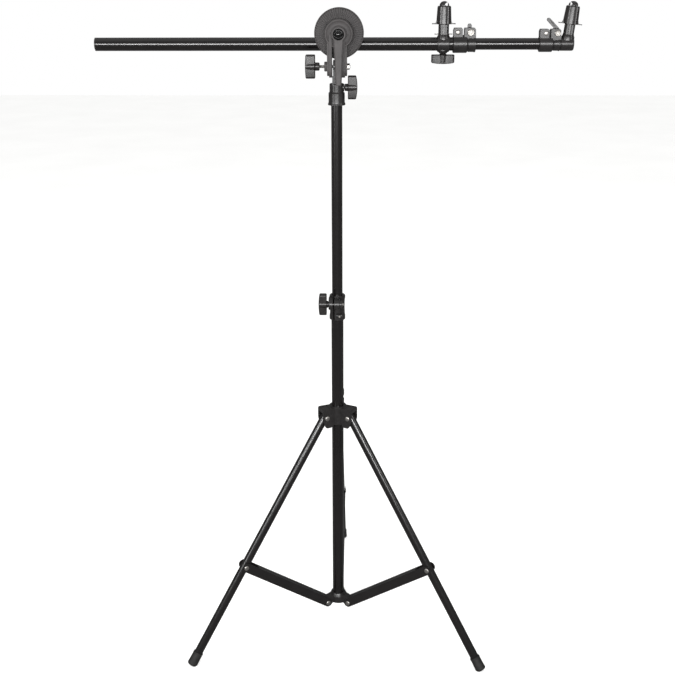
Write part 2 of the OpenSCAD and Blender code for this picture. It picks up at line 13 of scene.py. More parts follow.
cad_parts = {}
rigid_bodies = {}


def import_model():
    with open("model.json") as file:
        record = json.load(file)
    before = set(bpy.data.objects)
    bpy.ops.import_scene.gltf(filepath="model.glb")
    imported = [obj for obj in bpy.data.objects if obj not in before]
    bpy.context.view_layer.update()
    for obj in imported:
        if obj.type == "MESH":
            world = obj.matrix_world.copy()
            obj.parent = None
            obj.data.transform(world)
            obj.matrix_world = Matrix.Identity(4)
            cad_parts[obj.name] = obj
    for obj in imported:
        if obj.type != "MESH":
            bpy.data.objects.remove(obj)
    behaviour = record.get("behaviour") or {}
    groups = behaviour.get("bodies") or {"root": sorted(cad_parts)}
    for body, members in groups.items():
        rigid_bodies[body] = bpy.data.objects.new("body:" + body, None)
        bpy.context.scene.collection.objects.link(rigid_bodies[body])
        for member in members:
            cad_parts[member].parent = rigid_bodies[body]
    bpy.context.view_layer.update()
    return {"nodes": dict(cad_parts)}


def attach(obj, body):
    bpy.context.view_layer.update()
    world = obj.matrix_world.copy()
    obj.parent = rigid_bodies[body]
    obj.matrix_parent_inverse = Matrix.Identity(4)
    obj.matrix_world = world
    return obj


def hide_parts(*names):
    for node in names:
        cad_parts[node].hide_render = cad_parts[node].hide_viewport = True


bl_info = {
    "name": "Light stand with reflector boom",
    "version": (1, 0, 0),
    "blender": (4, 5, 0),
    "location": "View3D > Sidebar > Light stand",
    "description": "Draws the visible pieces of a light stand with a telescopic boom",
    "category": "Add Mesh",
}

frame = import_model()

MM = 0.001
AZIMUTHS = {"left": 210, "right": 330, "rear": 90}   # where the legs point, in degrees

# Places that the frame's solids have, in millimetres
PIVOT_R = 27.5            # leg and brace pivots from the column axis
LEG_PIVOT_Z = 453.5
LEG_ANGLE = 32.5
LEG_LEN = 528
BRACE_PIVOT_Z = 48.5
BRACE_LEN = 218.48
BRACE_ANGLE = 37.64
TILT_Z = 1089
BOOM_PIVOT = (4, 0, 1142)
BOOM_Y, BOOM_Z = 33, 1123
LOCK1_X, LOCK2_X = 195, 339
SLIDER_X, END_X, END_LEAN = 179, 386, 6
CLAMP_AXIS = (-21, 677.5)             # Y and Z; it runs along X
CLAMP_TOP = 689.5
SOCKET_Z = 1026
SOCKET_KNOB_Z = 1055
HUB_KNOB_Z = LEG_PIVOT_Z + 31
TUBE_R = 11               # lower column and outer boom tube

# Fasteners, in millimetres: screws, studs and the shanks of rivets are all of one size
SCREW_R = 2.5
SCREW_HOLE_R = 2.55
BOLT_HOLE_R = 4.05        # round the bolt that the boom swings on

ALONG_X = Matrix.Rotation(math.radians(90), 4, "Y")     # turns Z to X
ALONG_Y = Matrix.Rotation(math.radians(-90), 4, "X")    # turns Z to Y
FACING_FRONT = Matrix.Rotation(math.radians(90), 4, "X")  # turns Z to -Y and Y to Z


# ---- drawing tools: each gives a bmesh in millimetres ----

def at(x=0, y=0, z=0):
    """A shift."""
    return Matrix.Translation((x, y, z))


def turn(degrees, axis="Z"):
    """A turn about an axis through the origin."""
    return Matrix.Rotation(math.radians(degrees), 4, axis)


def put(bm, *matrices):
    """Moves a drawing by the product of the matrices and gives it back."""
    for matrix in reversed(matrices):
        bm.transform(matrix)
    bmesh.ops.recalc_face_normals(bm, faces=bm.faces)
    return bm


def turned(profile, steps=48, ring=False, shape=None):
    """Turns (radius, height) pairs about Z, as a closed ring or from axis to axis.
    shape(angle, radius, height) may give a point its own radius and height."""
    bm = bmesh.new()
    rows = []
    for r, z in profile:
        if r < 1e-6:
            rows.append([bm.verts.new((0, 0, z))])
            continue
        row = []
        for i in range(steps):
            a = math.tau * i / steps
            rr, zz = shape(a, r, z) if shape else (r, z)
            row.append(bm.verts.new((rr * math.cos(a), rr * math.sin(a), zz)))
        rows.append(row)
    pairs = list(zip(rows, rows[1:]))
    if ring:
        pairs.append((rows[-1], rows[0]))
    for low, high in pairs:
        if len(low) == len(high) == 1:
            continue
        for i in range(steps):
            j = (i + 1) % steps
            if len(low) == 1:
                bm.faces.new((low[0], high[i], high[j]))
            elif len(high) == 1:
                bm.faces.new((low[i], low[j], high[0]))
            else:
                bm.faces.new((low[i], low[j], high[j], high[i]))
    bmesh.ops.recalc_face_normals(bm, faces=bm.faces)
    return bm


def slab(outline, low, high):
    """Closed outline of (x, y) pairs, raised from low to high."""
    bm = bmesh.new()
    a = [bm.verts.new((x, y, low)) for x, y in outline]
    b = [bm.verts.new((x, y, high)) for x, y in outline]
    bm.faces.new(a[::-1])
    bm.faces.new(b)
    for i in range(len(a)):
        j = (i + 1) % len(a)
        bm.faces.new((a[i], a[j], b[j], b[i]))
    bmesh.ops.recalc_face_normals(bm, faces=bm.faces)
    return bm


def brick(x0, x1, y0, y1, z0, z1):
    """Box between those limits."""
    return slab([(x0, y0), (x1, y0), (x1, y1), (x0, y1)], z0, z1)


def rod(r, low, high, steps=40, edge=0.0):
    """Round bar along Z with its ends eased by edge."""
    if edge <= 0:
        return turned([(0, low), (r, low), (r, high), (0, high)], steps)
    return turned([(0, low), (r - edge, low), (r - edge * 0.3, low + edge * 0.3),
                   (r, low + edge), (r, high - edge), (r - edge * 0.3, high - edge * 0.3),
                   (r - edge, high), (0, high)], steps)


def arc(cx, cy, r, start, end, count=8):
    """Points on an arc, in degrees."""
    return [(cx + r * math.cos(math.radians(start + (end - start) * i / count)),
             cy + r * math.sin(math.radians(start + (end - start) * i / count)))
            for i in range(count + 1)]


def bundle(*parts):
    """Several closed drawings as one, each still closed in itself."""
    bm = bmesh.new()
    for part in parts:
        mesh = bpy.data.meshes.new("part")
        part.to_mesh(mesh)
        part.free()
        bm.from_mesh(mesh)
        bpy.data.meshes.remove(mesh)
    return bm


def _as_object(bm):
    mesh = bpy.data.meshes.new("tool")
    bm.to_mesh(mesh)
    bm.free()
    return bpy.data.objects.new("tool", mesh)


def carved(adds, cuts=()):
    """Joins the closed drawings in adds and takes away those in cuts."""
    holder = bpy.context.scene.collection
    base = _as_object(adds[0])
    holder.objects.link(base)
    groups = []
    for parts, operation in ((adds[1:], "UNION"), (cuts, "DIFFERENCE")):
        if not parts:
            continue
        group = bpy.data.collections.new("tools")
        holder.children.link(group)
        for part in parts:
            group.objects.link(_as_object(part))
        modifier = base.modifiers.new(operation, "BOOLEAN")
        modifier.operation = operation
        modifier.operand_type = "COLLECTION"
        modifier.collection = group
        modifier.solver = "EXACT"
        groups.append(group)
    bpy.context.view_layer.update()
    evaluated = base.evaluated_get(bpy.context.evaluated_depsgraph_get())
    bm = bmesh.new()
    bm.from_mesh(evaluated.to_mesh())
    evaluated.to_mesh_clear()
    for group in groups:
        for tool in list(group.objects):
            mesh = tool.data
            bpy.data.objects.remove(tool)
            bpy.data.meshes.remove(mesh)
        bpy.data.collections.remove(group)
    mesh = base.data
    bpy.data.objects.remove(base)
    bpy.data.meshes.remove(mesh)
    bmesh.ops.remove_doubles(bm, verts=bm.verts, dist=0.002)
    bmesh.ops.dissolve_degenerate(bm, edges=bm.edges, dist=0.002)
    return bm


def eased(bm, width, angle=28):
    """Rounds a drawing's edges, by width, where its faces turn by more than angle."""
    mesh_object = _as_object(bm)
    bpy.context.scene.collection.objects.link(mesh_object)
    modifier = mesh_object.modifiers.new("ease", "BEVEL")
    modifier.width = width
    modifier.segments = 2
    modifier.limit_method = "ANGLE"
    modifier.angle_limit = math.radians(angle)
    modifier.miter_outer = "MITER_ARC"
    bpy.context.view_layer.update()
    evaluated = mesh_object.evaluated_get(bpy.context.evaluated_depsgraph_get())
    out = bmesh.new()
    out.from_mesh(evaluated.to_mesh())
    evaluated.to_mesh_clear()
    mesh = mesh_object.data
    bpy.data.objects.remove(mesh_object)
    bpy.data.meshes.remove(mesh)
    return out


def piece(name, bm, body, nodes, slot, look=None, sharp=38):
    """Stands a drawing in the frame, on its body, for its CAD nodes and in its finish,
    which is its slot's own unless look names another."""
    bm.transform(Matrix.Scale(MM, 4))
    mesh = bpy.data.meshes.new(name)
    bm.to_mesh(mesh)
    bm.free()
    mesh.shade_smooth()
    mesh.set_sharp_from_angle(angle=math.radians(sharp))
    made = bpy.data.objects.new(name, mesh)
    bpy.context.scene.collection.objects.link(made)
    even = made.modifiers.new("even_shading", "WEIGHTED_NORMAL")
    even.keep_sharp = True
    even.weight = 80
    made.data.materials.append(finish_of(look or slot))
    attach(made, body)
    if nodes:
        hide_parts(*nodes)
    return made


# ---- finishes ----

def linear(code):
    """sRGB hex to the linear values that shaders take."""
    values = [int(code[i:i + 2], 16) / 255 for i in (1, 3, 5)]
    return tuple(v / 12.92 if v <= 0.04045 else ((v + 0.055) / 1.055) ** 2.4
                 for v in values)


def add_node(tree, kind, settings=None, inputs=None, links=()):
    """Adds a node; links are (input, source node, source output)."""
    made = tree.nodes.new(kind)
    for name, value in (settings or {}).items():
        setattr(made, name, value)
    for name, value in (inputs or {}).items():
        made.inputs[name].default_value = value
    for name, source, output in links:
        tree.links.new(source.outputs[output], made.inputs[name])
    return made


def ramp_stops(ramp, stops):
    """Sets a colour ramp to (place, colour) stops."""
    while len(ramp.color_ramp.elements) < len(stops):
        ramp.color_ramp.elements.new(0.5)
    for element, (where, colour) in zip(ramp.color_ramp.elements, stops):
        element.position = where
        element.color = (*colour, 1)


def per_mm(size):
    """Noise scale for a pattern of that size in millimetres, in a space of metres."""
    return 1000 / size


def surface(name, colour, worn, metallic, roughness, ior, patch_mm, grain_mm, grain_depth,
            spread):
    """One finish: two tones in soft patches, uneven gloss, and fine grain as relief."""
    made = bpy.data.materials.new(name)
    made.use_nodes = True
    tree = made.node_tree
    tree.nodes.clear()
    place = add_node(tree, "ShaderNodeTexCoord")
    patches = add_node(tree, "ShaderNodeTexNoise",
                       inputs={"Scale": per_mm(patch_mm), "Detail": 4.0, "Roughness": 0.6},
                       links=[("Vector", place, "Object")])
    tone = add_node(tree, "ShaderNodeValToRGB", links=[("Fac", patches, "Fac")])
    ramp_stops(tone, [(0.35, colour), (0.72, worn)])
    grain = add_node(tree, "ShaderNodeTexNoise",
                     inputs={"Scale": per_mm(grain_mm), "Detail": 3.0, "Roughness": 0.55},
                     links=[("Vector", place, "Object")])
    gloss = add_node(tree, "ShaderNodeMapRange",
                     inputs={"From Min": 0.3, "From Max": 0.7,
                             "To Min": roughness - spread, "To Max": roughness + spread},
                     links=[("Value", grain, "Fac")])
    relief = add_node(tree, "ShaderNodeBump",
                      inputs={"Strength": 0.35, "Distance": grain_depth * MM},
                      links=[("Height", grain, "Fac")])
    shader = add_node(tree, "ShaderNodeBsdfPrincipled",
                      inputs={"Metallic": metallic, "IOR": ior},
                      links=[("Base Color", tone, "Color"), ("Roughness", gloss, "Result"),
                             ("Normal", relief, "Normal")])
    add_node(tree, "ShaderNodeOutputMaterial", links=[("Surface", shader, "BSDF")])
    return made


_finishes = {}


def shade(colour, factor):
    """The colour, lighter or darker by a factor."""
    return tuple(min(1.0, value * factor) for value in colour)


def finish_of(kind):
    """The finish of that kind, made once."""
    if kind in _finishes:
        return _finishes[kind]
    look = bpy.context.scene.stand_finish
    black = tuple(look.tube_colour)
    moulded = tuple(look.moulded_colour)
    knob = tuple(look.knob_colour)
    nickel = tuple(look.metal_colour)
    rough = look.moulded_roughness
    # name, colour, worn colour, metallic, roughness, IOR, patch mm, grain mm, relief mm,
    # spread of the roughness
    recipes = {
        # Aluminium tube, drawn, anodised and dyed black: a hard, even satin skin, so that
        # highlights run in thin soft lines along the tube
        "black_anodised_tube": (
            "anodised_aluminium_drawn_black", black, shade(black, 1.6), 0.0,
            look.tube_roughness, 1.6, 60, 1.4, 0.002, 0.02),
        # Steel strip, pressed and powder painted black: low gloss with a slight orange peel
        "black_painted_steel": (
            "steel_strip_powder_painted_black", shade(black, 1.4), shade(black, 2.2), 0.0,
            0.42, 1.5, 30, 1.6, 0.03, 0.06),
        # Glass-filled nylon, moulded smooth: nearly black, with a soft sheen on its edges
        "moulded_black_nylon": (
            "glass_filled_nylon_moulded_black", shade(moulded, 0.22), shade(moulded, 0.42),
            0.0, rough - 0.1, 1.53, 16, 0.9, 0.03, 0.06),
        # The same nylon from a spark-eroded tool: matte, with a fine grain. Its charcoal colour is
        # painted lighter than the black nylon's, as a lit copy for the parts that face the lights
        "painted_lit_nylon": (
            "glass_filled_nylon_painted_lit_charcoal", moulded, shade(moulded, 1.35), 0.0,
            rough + 0.22, 1.53, 16, 0.9, 0.05, 0.07),
        # ABS knobs, moulded with cut ribs: dark, satin, a little worn on their crests
        "ribbed_knob_plastic": (
            "abs_moulded_charcoal_ribbed", knob, shade(knob, 1.8), 0.0, rough - 0.1, 1.53,
            12, 0.8, 0.04, 0.07),
        # Steel, turned and nickel plated: bright silver with faint turning marks
        "nickel_steel": (
            "steel_turned_nickel_plated", nickel, shade(nickel, 0.86), 1.0, 0.42, 1.5, 6,
            0.5, 0.006, 0.06),
        # Spring steel wire, drawn: grey metal, a little darker than the plated steel
        "spring_steel": (
            "spring_steel_wire_drawn", shade(nickel, 0.6), shade(nickel, 0.45), 1.0, 0.34,
            1.5, 5, 0.4, 0.005, 0.06),
        # Natural rubber, moulded: dead black, rough, dusty on the sole
        "black_rubber": (
            "rubber_moulded_black", linear("#0d0c0c"), linear("#1d1b1a"), 0.0, 0.62, 1.5, 9,
            0.8, 0.06, 0.08),
        # ABS cap, moulded in a polished tool: wet black with small sharp reflections
        "gloss_black_cap": (
            "abs_moulded_polished_black", linear("#050505"), linear("#0b0a0a"), 0.0, 0.1,
            1.5, 8, 1.5, 0.002, 0.02),
    }
    _finishes[kind] = surface(*recipes[kind])
    return _finishes[kind]


def dress(slot, *names):
    """Gives CAD nodes whose shape stays the finish of their slot."""
    for name in names:
        node = frame["nodes"][name]
        node.data.materials.clear()
        node.data.materials.append(finish_of(slot))


# ---- shapes that several pieces share ----

# Sends a drawing's X, Y and Z to Y, Z and X
SIDEWAYS = Matrix(((0, 0, 1, 0), (1, 0, 0, 0), (0, 1, 0, 0), (0, 0, 0, 1)))


def lofted(loops):
    """Skin through closed loops of points that all have the same count."""
    bm = bmesh.new()
    rows = [[bm.verts.new(p) for p in loop] for loop in loops]
    count = len(rows[0])
    for a, b in zip(rows, rows[1:]):
        for i in range(count):
            j = (i + 1) % count
            bm.faces.new((a[i], a[j], b[j], b[i]))
    bm.faces.new(rows[0][::-1])
    bm.faces.new(rows[-1])
    bmesh.ops.recalc_face_normals(bm, faces=bm.faces)
    return bm


def swept(path, r, sides):
    """Round wire of radius r along a path of points."""
    loops = []
    points = [Vector(p) for p in path]
    side = Vector((0.3, 0.2, 1))
    for i, p in enumerate(points):
        ahead = (points[min(i + 1, len(points) - 1)] - points[max(i - 1, 0)]).normalized()
        side = (side - ahead * side.dot(ahead)).normalized()
        across = ahead.cross(side)
        loops.append([p + side * r * math.cos(math.tau * k / sides)
                      + across * r * math.sin(math.tau * k / sides) for k in range(sides)])
    return lofted(loops)


def threaded(low, high):
    """Screw thread along Z: a ridge that winds round a core."""
    r, pitch, depth, steps = SCREW_R, 1.0, 0.35, 28
    profile = [(0, low), (r - depth, low)]
    z = low + pitch / 4
    while z < high - pitch / 4:
        profile.append((r, z))
        z += pitch / 4
    profile += [(r - depth, high), (0, high)]

    def ridge(a, rr, zz):
        if rr < r - depth / 2:
            return rr, zz
        phase = (zz / pitch - a / math.tau) % 1
        return r - depth * abs(2 * phase - 1), zz
    return turned(profile, steps, shape=ridge)


def dome_head(r, h, shank):
    """Rivet head that stands on Z = 0, with its shank below."""
    return turned([(0, h), (r * 0.5, h * 0.95), (r * 0.78, h * 0.78), (r * 0.94, h * 0.5),
                   (r, h * 0.2), (r, 0), (SCREW_R, 0), (SCREW_R, -shank), (0, -shank)], 36)


def rivet_pair(reach, shank, *places):
    """Both heads of a leg or brace rivet along Y, that far out from its middle."""
    return [put(dome_head(4.8, 1.8, shank), *places, turn(flip, "X"), at(0, 0, reach))
            for flip in (90, -90)]


def pan_head(r, h, shank_r, shank):
    """Machine screw head with a crowned rim round a shallow dish and a driving cross."""
    head = turned([(0, h * 0.75), (r * 0.28, h * 0.72), (r * 0.4, h * 0.3), (r * 0.52, h * 0.3),
                   (r * 0.66, h * 0.95), (r * 0.8, h), (r * 0.94, h * 0.8), (r, h * 0.35),
                   (r, 0), (shank_r, 0), (shank_r, -shank), (0, -shank)], 40)
    cross = [brick(-r * 0.2, r * 0.2, -r * 0.06, r * 0.06, h * 0.3, h * 2),
             brick(-r * 0.06, r * 0.06, -r * 0.2, r * 0.2, h * 0.3, h * 2)]
    return carved([head], cross)


def hex_nut(across, h, hole_r):
    """Nut on Z = 0 with its corners turned off and its bore countersunk."""
    corner = across / 2 / math.cos(math.radians(30))
    ring = [(corner * math.cos(math.radians(60 * i)), corner * math.sin(math.radians(60 * i)))
            for i in range(6)]
    flat, fall = across / 2, (corner + 1 - across / 2) * 0.5
    trims = [turned([(flat, z + s * 0.01), (corner + 1, z - s * fall), (corner + 1, z + s),
                     (flat, z + s)], 36, ring=True) for z, s in ((0, -1), (h, 1))]
    bore = turned([(0, -1), (hole_r + 0.9, -1), (hole_r, 0.7), (hole_r, h - 0.7),
                   (hole_r + 0.9, h + 1), (0, h + 1)], 30)
    return carved([slab(ring, 0, h)], trims + [bore])


def t_knob(bar_w, stem_len, stem_r, crown=1.9):
    """T knob: its stem ends at Z = 0, its bar lies along Y behind the stem. The bar's outer
    face is crowned and its flanks carry fine ribs on each side of the boss."""
    sizes = bpy.context.scene.stand_sizes
    half, thick = sizes.knob_length / 2, sizes.knob_thickness / 2
    inner, chamfer = -stem_len, 1.1
    round_end, rib_height = 1.9, 0.38
    ribs_end, ribs_start = half - 2.4, 8.1      # the ribs lie between these along the bar
    rib = (half - 9.5) / (sizes.knob_ribs * 2)
    marks = [-half + 0.15, -half + 0.7, -half + 1.8]
    k = 0
    while (k + 1) * rib - ribs_end < -ribs_start - 0.1:
        marks += [k * rib - ribs_end + 0.05, (k + 1) * rib - ribs_end - 0.05]
        k += 1
    marks += [-8.0, -4, 0]
    marks += [-mark for mark in marks[-2::-1]]
    stations = []
    for y in marks:
        end = max(0.0, abs(y) - (half - round_end)) / round_end
        side = thick - 2.4 * end ** 2 - 0.35 * (y / half) ** 2
        if ribs_start < abs(y) < ribs_end + 0.1:
            on_rib = int((ribs_end - abs(y) + 0.001) / rib) % 2 == 0
            side += rib_height if on_rib else 0.0
        outer = -stem_len - bar_w + crown * (y / half) ** 2 + 0.9 * end ** 2
        top = inner - 0.7 * end ** 2
        stations.append([(side, y, top - chamfer), (side, y, outer + chamfer),
                         (side - chamfer, y, outer), (-side + chamfer, y, outer),
                         (-side, y, outer + chamfer), (-side, y, top - chamfer),
                         (-side + chamfer, y, top), (side - chamfer, y, top)])
    bar = lofted(stations)
    boss_r, groove_depth = thick + 1.0, bar_w * 0.86
    groove = turned([(0, inner + 2), (boss_r + 0.9, inner + 2),
                     (boss_r + 0.1, inner - groove_depth), (0, inner - groove_depth)], 48)
    bar = carved([bar], [groove])
    boss = turned([(0, inner - bar_w + 1.2), (boss_r - 0.55, inner - bar_w + 1.2),
                   (boss_r - 0.1, inner - 1.0), (boss_r - 0.9, inner),
                   (stem_r + 0.5, inner + 0.2), (stem_r, inner + 0.8),
                   (stem_r, -1.2), (stem_r - 1.2, 0), (0, 0)], 48)
    # the screw is moulded in, so its hole is a little tight
    tight, deep = SCREW_R - 0.05, -stem_len - bar_w / 2
    bore = turned([(0, 1), (3.1, 1), (tight, -1), (tight, deep), (0, deep)], 32)
    return carved([bar, boss], [bore])


def drilled(low, high, place, way):
    """Tool that drills a screw hole along the way, through that place."""
    return put(rod(SCREW_HOLE_R, low, high, 24), place, way)


def leg_place(az):
    """Where a leg hangs: Z runs down it from its pivot."""
    return turn(az) @ at(PIVOT_R, 0, LEG_PIVOT_Z) @ turn(180 - LEG_ANGLE, "Y")


def brace_place(az):
    """Where a brace lies: Z runs up it from its pivot."""
    return turn(az) @ at(PIVOT_R, 0, BRACE_PIVOT_Z) @ turn(90 - BRACE_ANGLE, "Y")


def boom_place(x):
    """A place on the axis of the boom."""
    return at(x, BOOM_Y, BOOM_Z)


def end_place():
    """Where the end clip stands: leaning, and facing the other one."""
    return boom_place(END_X) @ turn(END_LEAN, "Y") @ Matrix.Scale(-1, 4, (1, 0, 0))


# ---- settings ----

class StandSizes(PropertyGroup):
    """Sizes of the drawn detail, in millimetres, and how often it repeats."""

    disc_ribs: IntProperty(
        name="Disc ribs", description="Radial ribs on the front of the friction disc",
        default=62, min=24, max=96)
    disc_rib_height: FloatProperty(
        name="Disc rib height", description="Depth of the valleys between the ribs, in mm",
        default=2.7, min=0.3, max=3.0)
    knob_length: FloatProperty(
        name="Knob length", description="Length of a T knob's bar, in mm",
        default=39.0, min=30.0, max=39.0)
    knob_thickness: FloatProperty(
        name="Knob thickness", description="Thickness of a T knob's bar, in mm",
        default=13.0, min=10.0, max=13.0)
    knob_ribs: IntProperty(
        name="Knob ribs", description="Fine ribs on each half of a T knob's flank",
        default=6, min=2, max=10)
    spring_turns: IntProperty(
        name="Spring turns", description="Turns of each clip spring",
        default=5, min=3, max=9)


class StandFinish(PropertyGroup):
    """Colours and gloss of the finishes."""

    tube_colour: FloatVectorProperty(
        name="Tube black", description="Colour of the anodised tubes", subtype="COLOR",
        size=3, min=0, max=1, default=linear("#0a0808"))
    knob_colour: FloatVectorProperty(
        name="Knob charcoal", description="Colour of the knobs and the lever",
        subtype="COLOR", size=3, min=0, max=1, default=linear("#141212"))
    # At full strength this is the painted lit tone of the disc, head bracket and lever; the black
    # nylon takes a darker share of it
    moulded_colour: FloatVectorProperty(
        name="Moulded charcoal", description="Colour of the moulded parts", subtype="COLOR",
        size=3, min=0, max=1, default=linear("#312e2e"))
    metal_colour: FloatVectorProperty(
        name="Plated metal", description="Colour of the plated screws and rivets",
        subtype="COLOR", size=3, min=0, max=1, default=linear("#b4b1ad"))
    tube_roughness: FloatProperty(
        name="Tube roughness", description="Roughness of the anodised tubes",
        subtype="FACTOR", default=0.21, min=0.05, max=0.8)
    moulded_roughness: FloatProperty(
        name="Moulded roughness", description="Roughness of the moulded parts",
        subtype="FACTOR", default=0.42, min=0.1, max=0.9)


class StandStage(PropertyGroup):
    """Light, floor and camera."""

    surround: FloatProperty(
        name="Surround", description="How bright the white surround is in reflections",
        default=0.2, min=0.0, max=5.0)
    key_power: FloatProperty(
        name="Key light", description="Power of the soft light at the front left",
        subtype="POWER", unit="POWER", default=18.0, min=0.0, max=500.0)
    top_power: FloatProperty(
        name="Top light", description="Power of the wide soft light overhead",
        subtype="POWER", unit="POWER", default=20.0, min=0.0, max=500.0)
    fill_power: FloatProperty(
        name="Fill light", description="Power of the soft light at the front right",
        subtype="POWER", unit="POWER", default=6.0, min=0.0, max=500.0)
    strip_power: FloatProperty(
        name="Strip light", description="Power of the wide strip behind the camera",
        subtype="POWER", unit="POWER", default=72.0, min=0.0, max=500.0)
    camera_place: FloatVectorProperty(
        name="Camera place", description="Where the camera stands", subtype="TRANSLATION",
        unit="LENGTH", size=3, default=(0.0582, -1.7530, 1.245))
    camera_down: FloatProperty(
        name="Camera down", description="How far down the camera looks, in degrees",
        default=20.0, min=-10, max=80)
    camera_roll: FloatProperty(
        name="Camera roll", description="Turn of the camera about its line of sight, in degrees",
        default=-0.2, min=-10, max=10)
    lens: FloatProperty(
        name="Lens", description="Focal length of the camera", unit="CAMERA",
        default=54.24, min=10, max=300)


# ---- column and legs ----

class STAND_OT_tubes(Operator):
    """Gives the drawn tubes and the plugs inside them their finishes"""

    bl_idname = "stand.tubes"
    bl_label = "Tubes and plugs"

    def execute(self, context):
        dress("black_anodised_tube", "lower_tube", "upper_tube", "leg_left", "leg_right",
              "leg_rear", "boom_outer_tube", "boom_middle_tube", "boom_inner_tube")
        dress("moulded_black_nylon", "column_end_plug", "tube_bushing", "boom_tail_plug")
        dress("nickel_steel", "spigot", "pivot_bolt")
        return {"FINISHED"}


class STAND_OT_feet(Operator):
    """Draws the rubber caps on the ends of the legs, worn flat where they stand"""

    bl_idname = "stand.feet"
    bl_label = "Foot caps"

    def execute(self, context):
        end, r = LEG_LEN + 9, 9.8
        wide = 500
        for side, az in AZIMUTHS.items():
            cap = turned([(8.0, end - 27), (r - 0.7, end - 27), (r - 0.1, end - 26.3),
                          (r - 0.1, end - 24.6), (r - 0.45, end - 24.0), (r - 0.35, end - 6),
                          (r, end - 5), (r, end - 2.4), (r - 0.7, end - 0.9),
                          (r - 2.2, end), (0, end), (0, end - 15), (8.0, end - 15)], 48,
                         ring=True)
            put(cap, leg_place(az))
            # all that would be under the floor is worn away
            sole = brick(-wide, wide, -wide, wide, -60, 0)
            piece(f"foot_cap_{side}", carved([cap], [sole]), f"leg_{side}",
                  [f"foot_{side}"], "black_rubber")
        return {"FINISHED"}


class STAND_OT_braces(Operator):
    """Draws the pressed channel braces with their rounded ends and knee rivets"""

    bl_idname = "stand.braces"
    bl_label = "Braces"

    def execute(self, context):
        outer, inner, open_x, bend = 9.5, 8.3, 8.0, 2.2
        end_r = (outer + open_x) / 2
        end_x = open_x - end_r
        for side, az in AZIMUTHS.items():
            # U section, its web at -X, with bent corners outside and inside
            section = ([(open_x, outer)] + arc(-outer + bend, outer - bend, bend, 90, 180, 6)
                       + arc(-outer + bend, -outer + bend, bend, 180, 270, 6)
                       + [(open_x, -outer), (open_x, -inner)]
                       + arc(-outer + bend, -inner + bend - 1.2, bend - 1.2, 270, 180, 4)
                       + arc(-outer + bend, inner - bend + 1.2, bend - 1.2, 180, 90, 4)
                       + [(open_x, inner)])
            channel = slab(section, 9.5, BRACE_LEN - 26)
            plate = (arc(end_x, 0, end_r, 180, 360, 18)
                     + arc(end_x, BRACE_LEN, end_r, 0, 180, 18))
            plates = []
            for y0, y1 in ((-outer, -inner), (inner, outer)):
                # the outline's x and y go to X and Z, its height to -Y
                plates.append(put(slab(plate, -y1, -y0), FACING_FRONT))
            strip = eased(carved([channel] + plates), 0.35, 40)
            piece(f"channel_brace_{side}", put(strip, brace_place(az)), f"brace_{side}",
                  [f"brace_{side}"], "black_painted_steel")
            studs = rivet_pair(outer, 1.2, brace_place(az), at(0, 0, BRACE_LEN))
            piece(f"knee_studs_{side}", bundle(*studs), f"brace_{side}",
                  [f"knee_rivets_{side}"], "nickel_steel")
        return {"FINISHED"}


class STAND_OT_bottom_hub(Operator):
    """Draws the fixed hub at the foot of the column, its tongues and rivets"""

    bl_idname = "stand.bottom_hub"
    bl_label = "Bottom hub"

    def execute(self, context):
        low, half = 45, 8.1
        adds = [turned([(TUBE_R, low), (17, low), (17, low + 12), (16.2, low + 13.6),
                        (14.6, low + 17.2), (13.4, low + 19), (TUBE_R, low + 19)], 64,
                       ring=True)]
        for az in AZIMUTHS.values():
            # tongue seen from its side: eye round the rivet, back sloping up to the collar
            outline = (arc(PIVOT_R, BRACE_PIVOT_Z, 8, -100, 62, 14)
                       + [(16.5, low + 14.5), (12, low + 15.5), (12, low), (PIVOT_R - 6, low)])
            adds.append(put(slab(outline, -half, half), turn(az), FACING_FRONT))
        cuts = [rod(TUBE_R + 0.02, 20, 90, 64)]
        rivets = []
        for az in AZIMUTHS.values():
            pivot = (turn(az), at(PIVOT_R, 0, BRACE_PIVOT_Z))
            cuts.append(put(rod(SCREW_R, -12, 12, 24), *pivot, ALONG_Y))
            rivets += rivet_pair(9.6, 9, *pivot)
        piece("bottom_hub_moulding", eased(carved(adds, cuts), 0.7), "column",
              ["bottom_hub"], "moulded_black_nylon")
        piece("bottom_hub_rivets", bundle(*rivets), "column", ["brace_pivot_rivets"],
              "nickel_steel")
        return {"FINISHED"}


